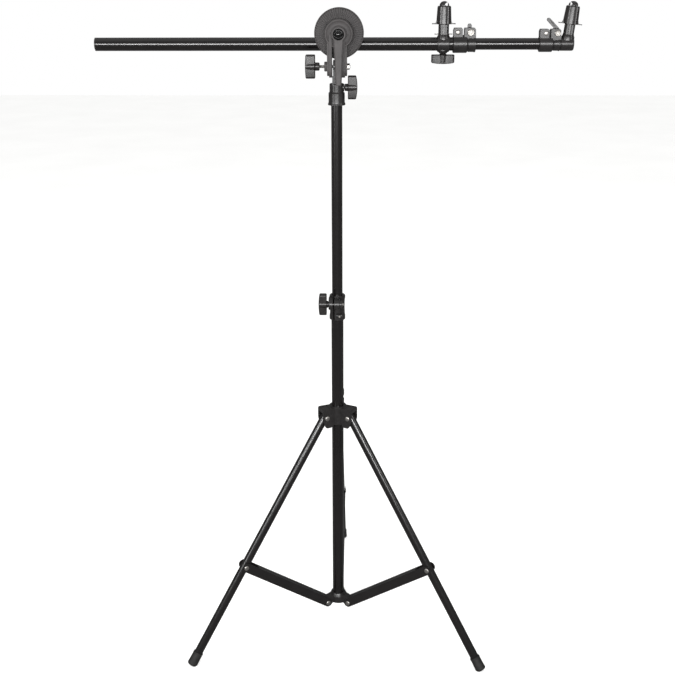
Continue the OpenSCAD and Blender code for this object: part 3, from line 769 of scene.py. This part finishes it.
class STAND_OT_leg_hub(Operator):
    """Draws the sliding leg hub, its rivets and its lock knob"""

    bl_idname = "stand.leg_hub"
    bl_label = "Leg hub"

    def execute(self, context):
        z = LEG_PIVOT_Z
        top, low, half = z + 19, z - 20, 11.3
        adds = [turned([(11.05, z - 16), (16, z - 16), (17, z - 15), (17, top - 1.4),
                        (15.6, top), (11.05, top)], 64, ring=True)]
        lobe = [(12, top - 1), (34, top), (36, top - 2), (36, z - 3), (PIVOT_R + 6, z - 13),
                (PIVOT_R + 2.5, low + 1.2), (PIVOT_R, low), (PIVOT_R - 8, low),
                (14, z - 14), (12, z - 14)]
        for az in AZIMUTHS.values():
            adds.append(put(slab(lobe, -half, half), turn(az), FACING_FRONT))
        adds.append(brick(-8, 8, 9, 24, top - 1, top + 20))
        cuts = [rod(TUBE_R + 0.06, low - 10, top + 30, 64),
                drilled(5, 30, at(0, 0, HUB_KNOB_Z), ALONG_Y)]
        slot_high = z + 11.5
        rivets = []
        for az in AZIMUTHS.values():
            cuts.append(put(brick(16.6, 60, -8.35, 8.35, low - 10, slot_high), turn(az)))
            # shallow pocket on top of each lobe, as moulded to keep the wall even
            cuts.append(put(brick(20.5, 32.5, -8.6, 8.6, top - 1.1, top + 9), turn(az)))
            pivot = (turn(az), at(PIVOT_R, 0, z))
            cuts.append(put(rod(SCREW_R, -20, 20, 24), *pivot, ALONG_Y))
            rivets += rivet_pair(half, 11, *pivot)
        piece("leg_hub_moulding", eased(carved(adds, cuts), 0.7), "leg_hub", ["leg_hub"],
              "moulded_black_nylon")
        piece("leg_hub_rivets", bundle(*rivets), "leg_hub", ["leg_pivot_rivets"],
              "nickel_steel")

        def lobed(a, r, height):
            """Eight finger hollows in the rim."""
            return (r - 1.5 * (0.5 + 0.5 * math.cos(8 * a)) ** 2 if r > 8 else r), height
        grip = turned([(0, 30), (SCREW_R, 30), (SCREW_R, 24.4), (6, 24.4), (6.2, 27), (11, 27.2),
                       (12, 28.4), (12, 36.6), (10.8, 38), (6, 37.4), (0, 37)], 96,
                      shape=lobed)
        put(grip, at(0, 0, HUB_KNOB_Z), ALONG_Y)
        stud = put(threaded(11.4, 25), at(0, 0, HUB_KNOB_Z), ALONG_Y)
        piece("hub_lock_knob", bundle(grip, stud), "hub_knob", ["hub_knob"],
              "moulded_black_nylon")
        return {"FINISHED"}


class STAND_OT_clamp(Operator):
    """Draws the column clamp: split collar with its lugs, knob, screw and nut"""

    bl_idname = "stand.clamp"
    bl_label = "Column clamp"

    def execute(self, context):
        y0, z0 = CLAMP_AXIS
        low, high = CLAMP_TOP - 46, CLAMP_TOP
        left, right = -15, 5
        reel = turned([(9.56, low), (13.4, low), (14.3, low + 1), (14.3, low + 8),
                       (13.6, low + 11), (13.2, low + 25), (13.5, high - 9),
                       (14.3, high - 6), (14.3, high - 1.2), (13.3, high),
                       (9.56, high)], 72, ring=True)
        adds = [reel,
                put(rod(10, left, right, 48, 1.2), at(0, y0, z0), ALONG_X),
                brick(left, right, y0, y0 + 14, z0 - 10, z0 + 10),
                put(rod(8, right - 1, right + 4, 40, 0.8), at(0, y0, z0), ALONG_X),
                # small lug low on the front, for a small screw
                put(rod(4.2, -1.5, 9.5, 32, 0.6), at(0, -13.6, low + 10), ALONG_X)]
        cuts = [rod(TUBE_R, low - 1, high - 6, 64),
                brick(-7.2, -4.8, y0 - 12, -7, low - 1, high + 1),
                put(rod(5.7, right, right + 5, 32), at(0, y0, z0), ALONG_X),
                drilled(-20, 20, at(0, y0, z0), ALONG_X)]
        piece("clamp_reel", eased(carved(adds, cuts), 0.7), "column", ["clamp_collar"],
              "moulded_black_nylon")
        piece("clamp_hex_nut", put(hex_nut(9, 4.5, SCREW_HOLE_R), at(right, y0, z0), ALONG_X),
              "column", ["clamp_nut"], "nickel_steel")
        piece("clamp_fastener", put(pan_head(2.1, 1.2, 1.2, 3),
              at(4.4, -17.6, low + 10), turn(90, "X")), "column", [], "nickel_steel")
        piece("clamp_t_knob", put(t_knob(14.5, 3, 6.2, 1.6), at(left - 0.4, y0, z0),
                                  turn(90, "Y"), turn(90)), "clamp_knob", ["clamp_knob"],
              "ribbed_knob_plastic")
        piece("clamp_thread", put(threaded(left - 10.65, right + 7), at(0, y0, z0),
                                  ALONG_X), "clamp_knob", ["clamp_screw"], "nickel_steel")
        return {"FINISHED"}


# ---- head ----

class STAND_OT_socket(Operator):
    """Draws the swivel socket with its tongue, its knob and screw"""

    bl_idname = "stand.socket"
    bl_label = "Swivel socket"

    def execute(self, context):
        z = SOCKET_Z
        cup = turned([(0, z), (14.3, z), (14.9, z + 0.9), (14.6, z + 2.4), (13.75, z + 4.6),
                      (13.75, z + 19.6), (13.2, z + 20.6), (12.1, z + 21.6),
                      (12, z + 34.4), (11.2, z + 35.6), (9.5, z + 36), (0, z + 36)], 72)
        adds = [cup,
                brick(-7, 7.5, -10, 10, z + 32, z + 47),
                brick(-5.6, 7.4, -10, 10, z + 36, TILT_Z),
                put(rod(11, -5.6, 7.4, 48), at(0, 0, TILT_Z), ALONG_X),
                put(rod(6, 8, 13, 32, 0.8), at(0, 0, SOCKET_KNOB_Z), ALONG_X)]
        cuts = [rod(9.9, z - 1, z + 4.6, 64), rod(8.05, z - 1, z + 33, 48),
                drilled(-20, 20, at(0, 0, TILT_Z), ALONG_X),
                drilled(5, 20, at(0, 0, SOCKET_KNOB_Z), ALONG_X)]
        piece("swivel_cup", eased(carved(adds, cuts), 0.6), "swivel", ["swivel_socket"],
              "moulded_black_nylon")
        piece("swivel_t_knob", put(t_knob(16, 5.6, 6, 2.4), at(13.4, 0, SOCKET_KNOB_Z),
                                   turn(-90, "Y"), turn(90)), "socket_knob",
              ["socket_knob"], "ribbed_knob_plastic")
        piece("swivel_thread", put(threaded(8.4, 27), at(0, 0, SOCKET_KNOB_Z),
                                   ALONG_X), "socket_knob", ["socket_screw"],
              "nickel_steel")
        return {"FINISHED"}


class STAND_OT_bracket(Operator):
    """Draws the head bracket: two stepped cheeks under a dished round hub"""

    bl_idname = "stand.bracket"
    bl_label = "Head bracket"

    def execute(self, context):
        front, back, r = -14, 2.6, 23.5
        px, py, pz = BOOM_PIVOT
        # heights here run along +Y from the front face
        hub = turned([(0, front + 1.0), (12.6, front + 1.0), (13.6, front + 2.2),
                      (16.5, front + 2.5), (19.6, front + 1.6), (21.2, front + 0.5),
                      (22.4, front + 0.4), (23.3, front + 1.3), (r, front + 2.6),
                      (r, back - 0.8), (r - 0.8, back), (0, back)], 96)
        put(hub, at(px, py, pz), ALONG_Y)
        hang = TILT_Z - 4
        cheek = (arc(0, hang, 14, 180, 360, 20)
                 + [(13.4, TILT_Z), (back, TILT_Z + 9), (back, pz), (front, pz)])
        shoulder = (arc(0, hang, 11.4, 180, 360, 20)
                    + [(11.2, TILT_Z), (back, TILT_Z + 8), (back, pz - 4),
                       (front + 2.6, pz - 4)])
        adds = [hub]
        # a cheek's outline is in Y and Z and its thickness runs along X
        gap = (-7.4, 7.9)
        for cheek_span, shoulder_span in (((-12.3, gap[0]), (-15.6, gap[0])),
                                          ((gap[1], 14.2), (gap[1] + 1, 17.6))):
            adds.append(put(slab(cheek, *cheek_span), SIDEWAYS))
            adds.append(put(slab(shoulder, *shoulder_span), SIDEWAYS))
        adds.append(put(rod(8, -20.5, -10, 40, 1.0), at(0, 0, TILT_Z), ALONG_X))
        adds.append(put(rod(8.6, 12, 17.6, 40, 0.6), at(0, 0, TILT_Z), ALONG_X))
        cuts = [brick(*gap, -16, 16, TILT_Z - 20, TILT_Z + 16),
                drilled(-30, 30, at(0, 0, TILT_Z), ALONG_X),
                put(rod(4.0, -20, 20, 32), at(px, py, pz), ALONG_Y)]
        for k in range(12):
            # grip flutes round the boss that the tilt knob closes on
            cuts.append(put(rod(0.9, -22, -16.4, 10), at(0, 0, TILT_Z),
                            turn(30 * k, "X"), at(0, 0, 8.3), ALONG_X))
        # the fork takes the nylon painted lighter, as lit where it faces the lights
        piece("head_fork", eased(carved(adds, cuts), 0.6), "tilt_head",
              ["head_bracket"], "moulded_black_nylon", "painted_lit_nylon")
        piece("tilt_hex_nut", put(hex_nut(9, 4.5, SCREW_HOLE_R), at(17.6, 0, TILT_Z),
                                  ALONG_X),
              "tilt_head", ["tilt_nut"], "nickel_steel")
        piece("pivot_hex_nut", put(hex_nut(13, 6, 4.0), at(px, 48.4, pz), ALONG_Y),
              "tilt_head", ["pivot_nut"], "nickel_steel")
        piece("tilt_t_knob", put(t_knob(16.6, 7.5, 6.7, 1.0), at(-28.5, 0, TILT_Z),
                                 turn(90, "Y"), turn(90)), "tilt_knob", ["tilt_knob"],
              "ribbed_knob_plastic")
        piece("tilt_thread", put(threaded(-44.3, 23), at(0, 0, TILT_Z), ALONG_X),
              "tilt_knob", ["tilt_screw"], "nickel_steel")
        return {"FINISHED"}


class STAND_OT_disc(Operator):
    """Draws the friction disc with its radial ribs, and the boom holder behind it"""

    bl_idname = "stand.disc"
    bl_label = "Friction disc"

    def execute(self, context):
        sizes = context.scene.stand_sizes
        ribs, deep = sizes.disc_ribs, sizes.disc_rib_height
        px, py, pz = BOOM_PIVOT
        front, back, r = 3.0, 15.0, 41.25
        # each rib has four columns of points: valley, valley, crest, crest; and the valleys
        # are sunk by these shares of their depth in three rows of the profile
        share = (0.06, 0.5, 0.62, 0.94)
        sunk = {3: 0.9, 4: 1.0, 5: 0.35}
        columns = ribs * 4
        profile = [(4.1, front), (22.6, front), (23.6, front + 0.3), (24.8, front + 0.1),
                   (38.6, front + 0.1), (39.9, front + 0.9), (40.9, front + 1.3),
                   (r, front + 2.2), (r, back - 1.2), (r - 1.2, back), (4.1, back)]
        bm = bmesh.new()
        rows = []
        for k, (rr, y) in enumerate(profile):
            row = []
            for i in range(columns):
                a = math.tau * (i // 4 + share[i % 4]) / ribs
                depth = sunk.get(k, 0.0) * deep if i % 4 < 2 else 0.0
                row.append(bm.verts.new((rr * math.cos(a), rr * math.sin(a), y + depth)))
            rows.append(row)
        for a, b in list(zip(rows, rows[1:])) + [(rows[-1], rows[0])]:
            for i in range(columns):
                j = (i + 1) % columns
                bm.faces.new((a[i], a[j], b[j], b[i]))
        put(bm, at(px, py, pz), ALONG_Y)
        # the disc takes the nylon painted lighter, as lit where it faces the lights
        piece("ribbed_friction_disc", bm, "boom_mount", ["ribbed_disc"],
              "moulded_black_nylon", "painted_lit_nylon", 24)

        low, high = -14, 22
        wrap = 14.5
        adds = [put(rod(wrap, low, high, 64, 1.2), at(0, BOOM_Y, BOOM_Z), ALONG_X),
                brick(low, high, back, BOOM_Y, BOOM_Z - wrap + 2, BOOM_Z + wrap),
                brick(low, high, back, 48, BOOM_Z, BOOM_Z + 31)]
        cuts = [put(rod(TUBE_R + 0.05, low - 1, high + 1, 64), at(0, BOOM_Y, BOOM_Z),
                    ALONG_X),
                brick(low - 1, high + 1, BOOM_Y, BOOM_Y + 40, BOOM_Z - 1, BOOM_Z + 1),
                put(rod(BOLT_HOLE_R, 0, 80, 32), at(px, py, pz), ALONG_Y)]
        for x in (px - 11.5, px + 11.5):
            # hollow in the back of the holder, beside the bolt
            cuts.append(brick(x - 3, x + 3, 40, 50, BOOM_Z + 16, BOOM_Z + 28))
        piece("boom_saddle", eased(carved(adds, cuts), 0.9), "boom_mount",
              ["boom_holder"], "moulded_black_nylon")
        return {"FINISHED"}


class STAND_OT_lever(Operator):
    """Draws the lock lever, the dark collar sunk in its eye and its polished cap"""

    bl_idname = "stand.lever"
    bl_label = "Lock lever"

    def execute(self, context):
        pivot = at(*BOOM_PIVOT)
        # the arm narrows downwards: height from the pivot and half width
        loops = []
        for z, w in ((4, 8.6), (-10, 8.4), (-43, 6.6), (-67, 5.6), (-79, 5.0), (-81, 4.4),
                     (-82, 3.0)):
            back, front, slope = -19, -26 + (1.6 if z < -81.5 else 0), min(2.0, w * 0.45)
            loops.append([(-w, back + 0.4, z), (-w, front + slope, z),
                          (-w + slope, front, z), (w - slope, front, z),
                          (w, front + slope, z), (w, back + 0.4, z), (w - 0.6, back, z),
                          (-w + 0.6, back, z)])
        eye = turned([(0, 26), (10.9, 26), (11.7, 25.5), (12, 24.6), (12, 14.9),
                      (11.4, 14.4), (0, 14.4)], 64)
        put(eye, turn(90, "X"))
        sink = put(turned([(0, 24.2), (9.0, 24.2), (9.6, 27), (0, 27)], 56), turn(90, "X"))
        bore = put(rod(BOLT_HOLE_R, 10, 25.1, 32), turn(90, "X"))
        lever = eased(carved([lofted(loops), eye], [sink, bore]), 0.5)
        # the lever takes the nylon painted lighter, as lit where it faces the lights
        piece("lock_lever_arm", put(lever, pivot), "lock_lever", ["lock_lever"],
              "ribbed_knob_plastic", "painted_lit_nylon")
        collar = turned([(0, 24.1), (8.9, 24.1), (8.9, 25.2), (8.0, 25.9), (6.6, 25.5),
                         (6.3, 24.9), (0, 24.9)], 56)
        piece("lever_eye_collar", put(collar, pivot, turn(90, "X")), "lock_lever", [],
              "gloss_black_cap")
        dome = [(6.0, 25.0), (6.1, 26.0)] + [
            (6.1 * math.cos(math.radians(a)), 26.0 + 5.4 * math.sin(math.radians(a)))
            for a in (12, 25, 38, 51, 64, 77)] + [(0, 31.4)]
        cap = turned([(0, 25.0)] + dome, 56)
        piece("lever_dome_cap", put(cap, pivot, turn(90, "X")), "lock_lever",
              ["lever_cap"], "gloss_black_cap")
        return {"FINISHED"}


# ---- boom ----

# The boom's two tube locks. Lengths run along the boom from the collar's near end.
LOCKS = (
    {"name": "first", "x": LOCK1_X, "body": "boom_outer", "number": 1,
     "ring_lengths": (24, 14), "ring_radii": (14.6, 13.1), "held_r": TUBE_R,
     "held_length": 18, "next_r": 9.5, "lug_top": 26, "screw_z": 19, "rivet_x": 7.7,
     "screw_x": 29, "screw_head_r": 5.9, "lever_angle": 0},
    {"name": "second", "x": LOCK2_X, "body": "boom_middle", "number": 2,
     "ring_lengths": (22.7, 12.9), "ring_radii": (13.2, 11.3), "held_r": 9.5,
     "held_length": 16, "next_r": 8, "lug_top": 24, "screw_z": 17.5, "rivet_x": 10.4,
     "screw_x": 29.4, "screw_head_r": 5.25, "lever_angle": 135})
LUG_HALF = 9.0            # half the width of a lock's two lugs across the boom


def lock_collar(lock):
    """Collar at the end of a boom tube: two rings and two split lugs with cut corners."""
    first, second = lock["ring_lengths"]
    wide, narrow = lock["ring_radii"]
    whole, top = first + second, lock["lug_top"]
    lug_gap = (15.6, 18.6)
    # heights here run along +X
    ring = turned([(0, 0), (wide - 1.2, 0), (wide, 1.0), (wide, first - 1.2),
                   (wide - 0.9, first - 0.3), (narrow + 0.2, first),
                   (narrow - 0.5, first + 0.7), (narrow - 0.5, first + 1.7),
                   (narrow, first + 2.2), (narrow, whole - 3.2),
                   (narrow + 0.5, whole - 2.4), (narrow + 0.5, whole - 0.8),
                   (narrow - 0.4, whole), (0, whole)], 64)
    put(ring, ALONG_X)
    left = [(1.0, 0), (0.4, top - 4), (1.6, top - 0.4), (2.6, top),
            (lug_gap[0] - 1.2, top), (lug_gap[0], top - 2.2), (lug_gap[0], 0)]
    right = [(lug_gap[1], 0), (lug_gap[1], top - 1.6), (lug_gap[1] + 1.0, top),
             (whole - 2.4, top), (whole - 0.6, top - 1.8), (whole, 8), (whole, 0)]
    adds = [ring]
    for outline in (left, right):
        adds.append(put(slab(outline, -LUG_HALF, LUG_HALF), FACING_FRONT))
    cuts = [put(rod(lock["held_r"], -1, lock["held_length"], 56), ALONG_X),
            put(rod(lock["next_r"] + 0.05, 0, 60, 56), ALONG_X),
            brick(-1, 60, -0.8, 0.8, 0, 40)]
    for x, face_r in ((lock["rivet_x"], 4.4), (lock["screw_x"], 6.3)):
        place = at(x, 0, lock["screw_z"])
        cuts.append(put(rod(SCREW_R, -20, 20, 24), place, ALONG_Y))
        # spot face that each head sits in
        cuts.append(put(rod(face_r, -12, -LUG_HALF + 0.35, 36), place, ALONG_Y))
    return eased(carved(adds, cuts), 0.5)


def lock_fasteners(lock):
    """Rivet with a head on each side, and a screw whose end takes the flip lever."""
    rivet_place = at(lock["rivet_x"], 0, lock["screw_z"])
    screw_place = at(lock["screw_x"], 0, lock["screw_z"])
    rivet = [put(dome_head(3.8, 1.6, 8.9), rivet_place, turn(flip, "X"), at(0, 0, reach))
             for flip, reach in ((90, LUG_HALF - 0.3), (-90, LUG_HALF))]
    screw = put(pan_head(lock["screw_head_r"], 2.4, SCREW_R, 20), screw_place,
                turn(90, "X"), at(0, 0, LUG_HALF - 0.3))
    end = put(threaded(8, 21.7), screw_place, ALONG_Y)
    return bundle(*rivet, screw, end)


def flip_lever():
    """Lever nut: eye, slim arm with a long hollow, rounded tip, and a short thumb tail."""
    y0, y1 = 9.4, 20.2
    # heights of the arm here run along -Y
    low, high = -y1, -15.2
    eye = put(turned([(0, y0), (6.8, y0), (7.5, y0 + 0.8), (7.5, y1 - 0.9), (6.6, y1),
                      (0, y1)], 44), ALONG_Y)
    arm = ([(-9.1, 0), (-9.1, -23)] + arc(-6.1, -23, 3, 180, 360, 10)
           + [(-3.1, 0)])
    tail = [(-3.5, 0), (-3.5, 10.5), (-1.6, 13), (1.6, 13), (3.5, 10.5), (3.5, 0)]
    adds = [eye, put(slab(arm, low, high), FACING_FRONT),
            put(slab(tail, low, high), FACING_FRONT)]
    cuts = [drilled(0, 40, at(), ALONG_Y),
            brick(-7.3, -4.9, 10, 17.4, -21, -9)]
    return eased(carved(adds, cuts), 0.7)


class STAND_OT_locks(Operator):
    """Draws the two tube locks of the boom with their fasteners and flip levers"""

    bl_idname = "stand.locks"
    bl_label = "Boom locks"

    def execute(self, context):
        for lock in LOCKS:
            name, body, number = lock["name"], lock["body"], lock["number"]
            place = boom_place(lock["x"])
            piece(f"{name}_lock_collar", put(lock_collar(lock), place), body,
                  [f"lock{number}_collar"], "moulded_black_nylon")
            piece(f"{name}_lock_fasteners", put(lock_fasteners(lock), place), body,
                  [f"lock{number}_screws"], "nickel_steel")
            piece(f"{name}_flip_lever",
                  put(flip_lever(), place, at(lock["screw_x"], 0, lock["screw_z"]),
                      turn(lock["lever_angle"], "Y")), f"flip_lever{number}",
                  [f"flip_lever{number}"], "moulded_black_nylon")
        return {"FINISHED"}


def clip_post(extra, more_cuts):
    """Post of a clip: flared neck with slots beside a rib, stem, and hooked dome."""
    neck = turned([(0, 6), (11.0, 6), (10.8, 11.5), (9.6, 14), (8.9, 17), (8.8, 37),
                   (8.0, 38), (5, 38.2), (5, 62), (0, 62)], 56)
    dome = [(8, 61.4), (8, 62.0)] + [
        (8 * math.cos(math.radians(a)), 61.8 + 7.0 * math.sin(math.radians(a)))
        for a in (8, 20, 33, 46, 60, 74)] + [(0, 68.8)]
    hook = turned([(0, 61.4)] + dome, 56)
    # the hook's hollow narrows towards the stem
    hollow = [(0.3, 63.6), (2.6, 66.0), (6.0, 67.2), (6.0, 60.8), (3.6, 60.8)]
    adds = [neck, hook] + extra
    cuts = [put(slab(hollow, -12, 12), FACING_FRONT),
            brick(0.5, 12, -12, 12, 47, 61.4)] + more_cuts
    for s in (-1, 1):
        for x0, x1 in ((-5.4, -1.9), (1.9, 5.4)):
            cuts.append(brick(x0, x1, min(s * 5.6, s * 12), max(s * 5.6, s * 12), 15.2, 31))
    return eased(carved(adds, cuts), 0.45)


def clip_sleeve():
    """Finger sleeve: a cone with a broad rib between two grooves, and two thin tabs."""
    low, high = 32.0, 61.0
    cone = turned([(9.2, low), (12.2, low), (12.8, low + 0.7), (12.65, low + 3),
                   (11.3, high - 1.6), (10.4, high), (5.4, high), (5.4, high - 4),
                   (9.2, high - 4)], 72, ring=True)
    adds = [cone]
    for s in (-1, 1):
        tab = ([(s * 10.5, -5), (s * 17.5, -5)]
               + arc(s * 17.5, -3, 2, -90, 0 if s > 0 else -180, 4)
               + arc(s * 17.5, 3, 2, 0 if s > 0 else 180, 90, 4) + [(s * 10.5, 5)])
        adds.append(slab(tab, low, low + 1.3))
        fillet = [(10.5, low + 1.2), (15.2, low + 1.2), (13.2, low + 2.4),
                  (12.4, low + 5.5), (10.5, low + 5.5)]
        adds.append(put(slab([(s * x, z) for x, z in fillet], -3.4, 3.4), FACING_FRONT))
    cuts = []
    for s in (-1, 1):
        for front in (-1, 1):
            # groove beside the broad rib, sloping with the cone
            groove = brick(-0.45, 0.45, 0, 2.2, low - 1, high + 1)
            cuts.append(put(groove, turn(180 * (front > 0)), at(s * 6.1, -12.15, 0),
                            at(0, 0, (low + high) / 2), turn(-3.2, "X"),
                            at(0, 0, -(low + high) / 2)))
    return eased(carved(adds, cuts), 0.4)


def clip_spring(turns):
    """Coil spring between a clip's neck and the top of its sleeve."""
    path = []
    low, high, r = 38.7, 56.4, 7.0
    count = turns * 24
    for i in range(count + 1):
        share = i / count
        # the end turns lie close together, as on a ground spring
        eased_share = share - 0.09 * math.sin(math.tau * share)
        a = math.tau * turns * share
        path.append((r * math.cos(a), r * math.sin(a), low + (high - low) * eased_share))
    return swept(path, 0.5, 8)


class STAND_OT_clips(Operator):
    """Draws the sliding clip and the end clip with their sleeves, springs and knob"""

    bl_idname = "stand.clips"
    bl_label = "Reflector clips"

    def execute(self, context):
        turns = context.scene.stand_sizes.spring_turns
        pin_r, pin_z = 0.8, 16
        place = boom_place(SLIDER_X)
        saddle = put(rod(13, -10, 10, 64, 1.2), ALONG_X)
        nose = turned([(0, -15), (6.5, -15), (6.9, -14.2), (9.4, -11), (9.4, -8),
                       (0, -8)], 40)
        post = clip_post([saddle, nose],
                         [put(rod(TUBE_R + 0.05, -12, 12, 64), ALONG_X),
                          put(rod(pin_r, -20, 20, 14), at(0, 0, pin_z), ALONG_X),
                          rod(SCREW_HOLE_R, -20, -5, 24)])
        piece("sliding_clip_post", put(post, place), "sliding_clip", ["slider_post"],
              "moulded_black_nylon")
        piece("sliding_clip_pin", put(rod(pin_r, -15, 15, 16, 0.25), place,
                                      at(0, 0, pin_z), ALONG_X), "sliding_clip", ["slider_cross_pin"],
              "spring_steel")
        piece("sliding_clip_spring", put(clip_spring(turns), place), "sliding_clip",
              ["slider_spring"], "spring_steel")
        piece("sliding_clip_sleeve", put(clip_sleeve(), place), "slider_sleeve",
              ["slider_sleeve"], "ribbed_knob_plastic")
        piece("sliding_clip_t_knob", put(t_knob(15, 2, 6), place, at(0, 0, -15.4),
                                         turn(90)), "slider_knob", ["slider_knob"],
              "ribbed_knob_plastic")
        piece("sliding_clip_thread", put(threaded(-24.9, -11.4), place),
              "slider_knob", ["slider_screw"], "nickel_steel")

        place = end_place()
        # heights here run along +X of the boom; the cup is closed at its far end
        cup = turned([(0, -11), (10.7, -11), (11.3, -10.2), (11.3, 8.6), (10.4, 10.6),
                      (9.0, 11), (0, 11)], 56)
        upright = place.inverted() @ boom_place(END_X)
        post = clip_post([put(cup, upright, ALONG_X)],
                         [put(rod(8.0, -12, 5, 48), upright, ALONG_X)])
        piece("end_clip_body", put(post, place), "boom_inner", ["end_clip_post"],
              "moulded_black_nylon")
        piece("end_clip_spring", put(clip_spring(turns), place), "boom_inner",
              ["end_spring"], "spring_steel")
        piece("end_clip_sleeve", put(clip_sleeve(), place), "end_sleeve", ["end_sleeve"],
              "ribbed_knob_plastic")
        return {"FINISHED"}


# ---- stage ----

def floor_paint():
    """Painted board: white and matte, with a very faint mottle."""
    paint = bpy.data.materials.new("matte_painted_board_white")
    paint.use_nodes = True
    tree = paint.node_tree
    shader = tree.nodes["Principled BSDF"]
    shader.inputs["Roughness"].default_value = 0.9
    shader.inputs["Specular IOR Level"].default_value = 0.2
    place = add_node(tree, "ShaderNodeTexCoord")
    mottle = add_node(tree, "ShaderNodeTexNoise",
                      inputs={"Scale": per_mm(400), "Detail": 2.0},
                      links=[("Vector", place, "Object")])
    tone = add_node(tree, "ShaderNodeValToRGB", links=[("Fac", mottle, "Fac")])
    ramp_stops(tone, [(0.3, linear("#fbfbfa")), (0.7, linear("#fefefd"))])
    tree.links.new(tone.outputs["Color"], shader.inputs["Base Color"])
    return paint


def white_surround(brightness):
    """White backdrop. Its mirror image in glossy black is held back to that brightness,
    as dark walls round a studio do."""
    world = bpy.data.worlds.new("white_surround")
    world.use_nodes = True
    sky = world.node_tree.nodes["Background"]
    sky.inputs["Color"].default_value = (1, 1, 1, 1)
    rays = add_node(world.node_tree, "ShaderNodeLightPath")
    seen = add_node(world.node_tree, "ShaderNodeMapRange",
                    inputs={"To Min": 1.0, "To Max": brightness},
                    links=[("Value", rays, "Is Glossy Ray")])
    world.node_tree.links.new(seen.outputs["Result"], sky.inputs["Strength"])
    return world


def soft_light(name, where, target, width, height, power):
    """Rectangular soft light that looks at its target."""
    lamp = bpy.data.lights.new(name, "AREA")
    lamp.shape = "RECTANGLE"
    lamp.size, lamp.size_y = width, height
    lamp.energy = power
    holder = bpy.data.objects.new(name, lamp)
    holder.location = where
    aim = Vector(target) - Vector(where)
    holder.rotation_euler = aim.to_track_quat("-Z", "Y").to_euler()
    bpy.context.scene.collection.objects.link(holder)


class STAND_OT_stage(Operator):
    """Lays the pale floor, hangs the soft lights and sets the camera"""

    bl_idname = "stand.stage"
    bl_label = "Stage"

    def execute(self, context):
        stage = context.scene.stand_stage
        scene = context.scene

        mesh = bpy.data.meshes.new("floor")
        half = 9.0
        mesh.from_pydata([(-half, -half, 0), (half, -half, 0), (half, half, 0),
                          (-half, half, 0)], [], [(0, 1, 2, 3)])
        mesh.materials.append(floor_paint())
        floor = bpy.data.objects.new("floor", mesh)
        scene.collection.objects.link(floor)
        floor.visible_glossy = False

        scene.world = white_surround(stage.surround)
        scene.view_settings.view_transform = "Standard"

        soft_light("key_soft_box", (-1.7, -1.5, 1.35), (0, 0, 0.75), 0.3, 1.2,
                   stage.key_power)
        soft_light("fill_soft_box", (2.0, -1.0, 1.6), (0, 0, 0.8), 0.3, 1.0,
                   stage.fill_power)
        soft_light("top_soft_box", (0.0, 0.3, 3.4), (0, 0.3, 0), 4.0, 4.0,
                   stage.top_power)
        soft_light("front_strip", (0.0, -2.5, 1.31), (0, 0, 1.12), 2.4, 0.34,
                   stage.strip_power)

        lens = bpy.data.cameras.new("camera")
        lens.lens = stage.lens
        lens.sensor_width = 36
        lens.clip_start, lens.clip_end = 0.05, 50
        camera = bpy.data.objects.new("camera", lens)
        camera.location = stage.camera_place
        # the camera looks at the column's axis, and down
        x, y = stage.camera_place[:2]
        level = math.hypot(x, y)
        down = math.radians(stage.camera_down)
        forward = Vector((-x / level * math.cos(down), -y / level * math.cos(down),
                          -math.sin(down)))
        level_turn = forward.to_track_quat("-Z", "Y").to_matrix().to_4x4()
        camera.rotation_euler = (level_turn @ turn(stage.camera_roll)).to_euler()
        scene.collection.objects.link(camera)
        scene.camera = camera
        return {"FINISHED"}


class STAND_PT_panel(Panel):
    """Lists the settings and the pieces"""

    bl_idname = "STAND_PT_panel"
    bl_label = "Light stand"
    bl_space_type = "VIEW_3D"
    bl_region_type = "UI"
    bl_category = "Light stand"

    def draw(self, context):
        for group in (context.scene.stand_sizes, context.scene.stand_finish,
                      context.scene.stand_stage):
            box = self.layout.box()
            for name in group.__annotations__:
                box.prop(group, name)
        for operator in OPERATORS:
            self.layout.operator(operator.bl_idname)


OPERATORS = (STAND_OT_tubes, STAND_OT_feet, STAND_OT_braces, STAND_OT_bottom_hub,
             STAND_OT_leg_hub, STAND_OT_clamp, STAND_OT_socket, STAND_OT_bracket,
             STAND_OT_disc, STAND_OT_lever, STAND_OT_locks, STAND_OT_clips,
             STAND_OT_stage)
CLASSES = (StandSizes, StandFinish, StandStage) + OPERATORS + (STAND_PT_panel,)


def register():
    for made in CLASSES:
        bpy.utils.register_class(made)
    bpy.types.Scene.stand_sizes = PointerProperty(type=StandSizes)
    bpy.types.Scene.stand_finish = PointerProperty(type=StandFinish)
    bpy.types.Scene.stand_stage = PointerProperty(type=StandStage)


def unregister():
    del bpy.types.Scene.stand_sizes
    del bpy.types.Scene.stand_finish
    del bpy.types.Scene.stand_stage
    for made in reversed(CLASSES):
        bpy.utils.unregister_class(made)


def main():
    register()
    bpy.ops.stand.tubes()
    bpy.ops.stand.feet()
    bpy.ops.stand.braces()
    bpy.ops.stand.bottom_hub()
    bpy.ops.stand.leg_hub()
    bpy.ops.stand.clamp()
    bpy.ops.stand.socket()
    bpy.ops.stand.bracket()
    bpy.ops.stand.disc()
    bpy.ops.stand.lever()
    bpy.ops.stand.locks()
    bpy.ops.stand.clips()
    bpy.ops.stand.stage()


if __name__ == "__main__":
    main()
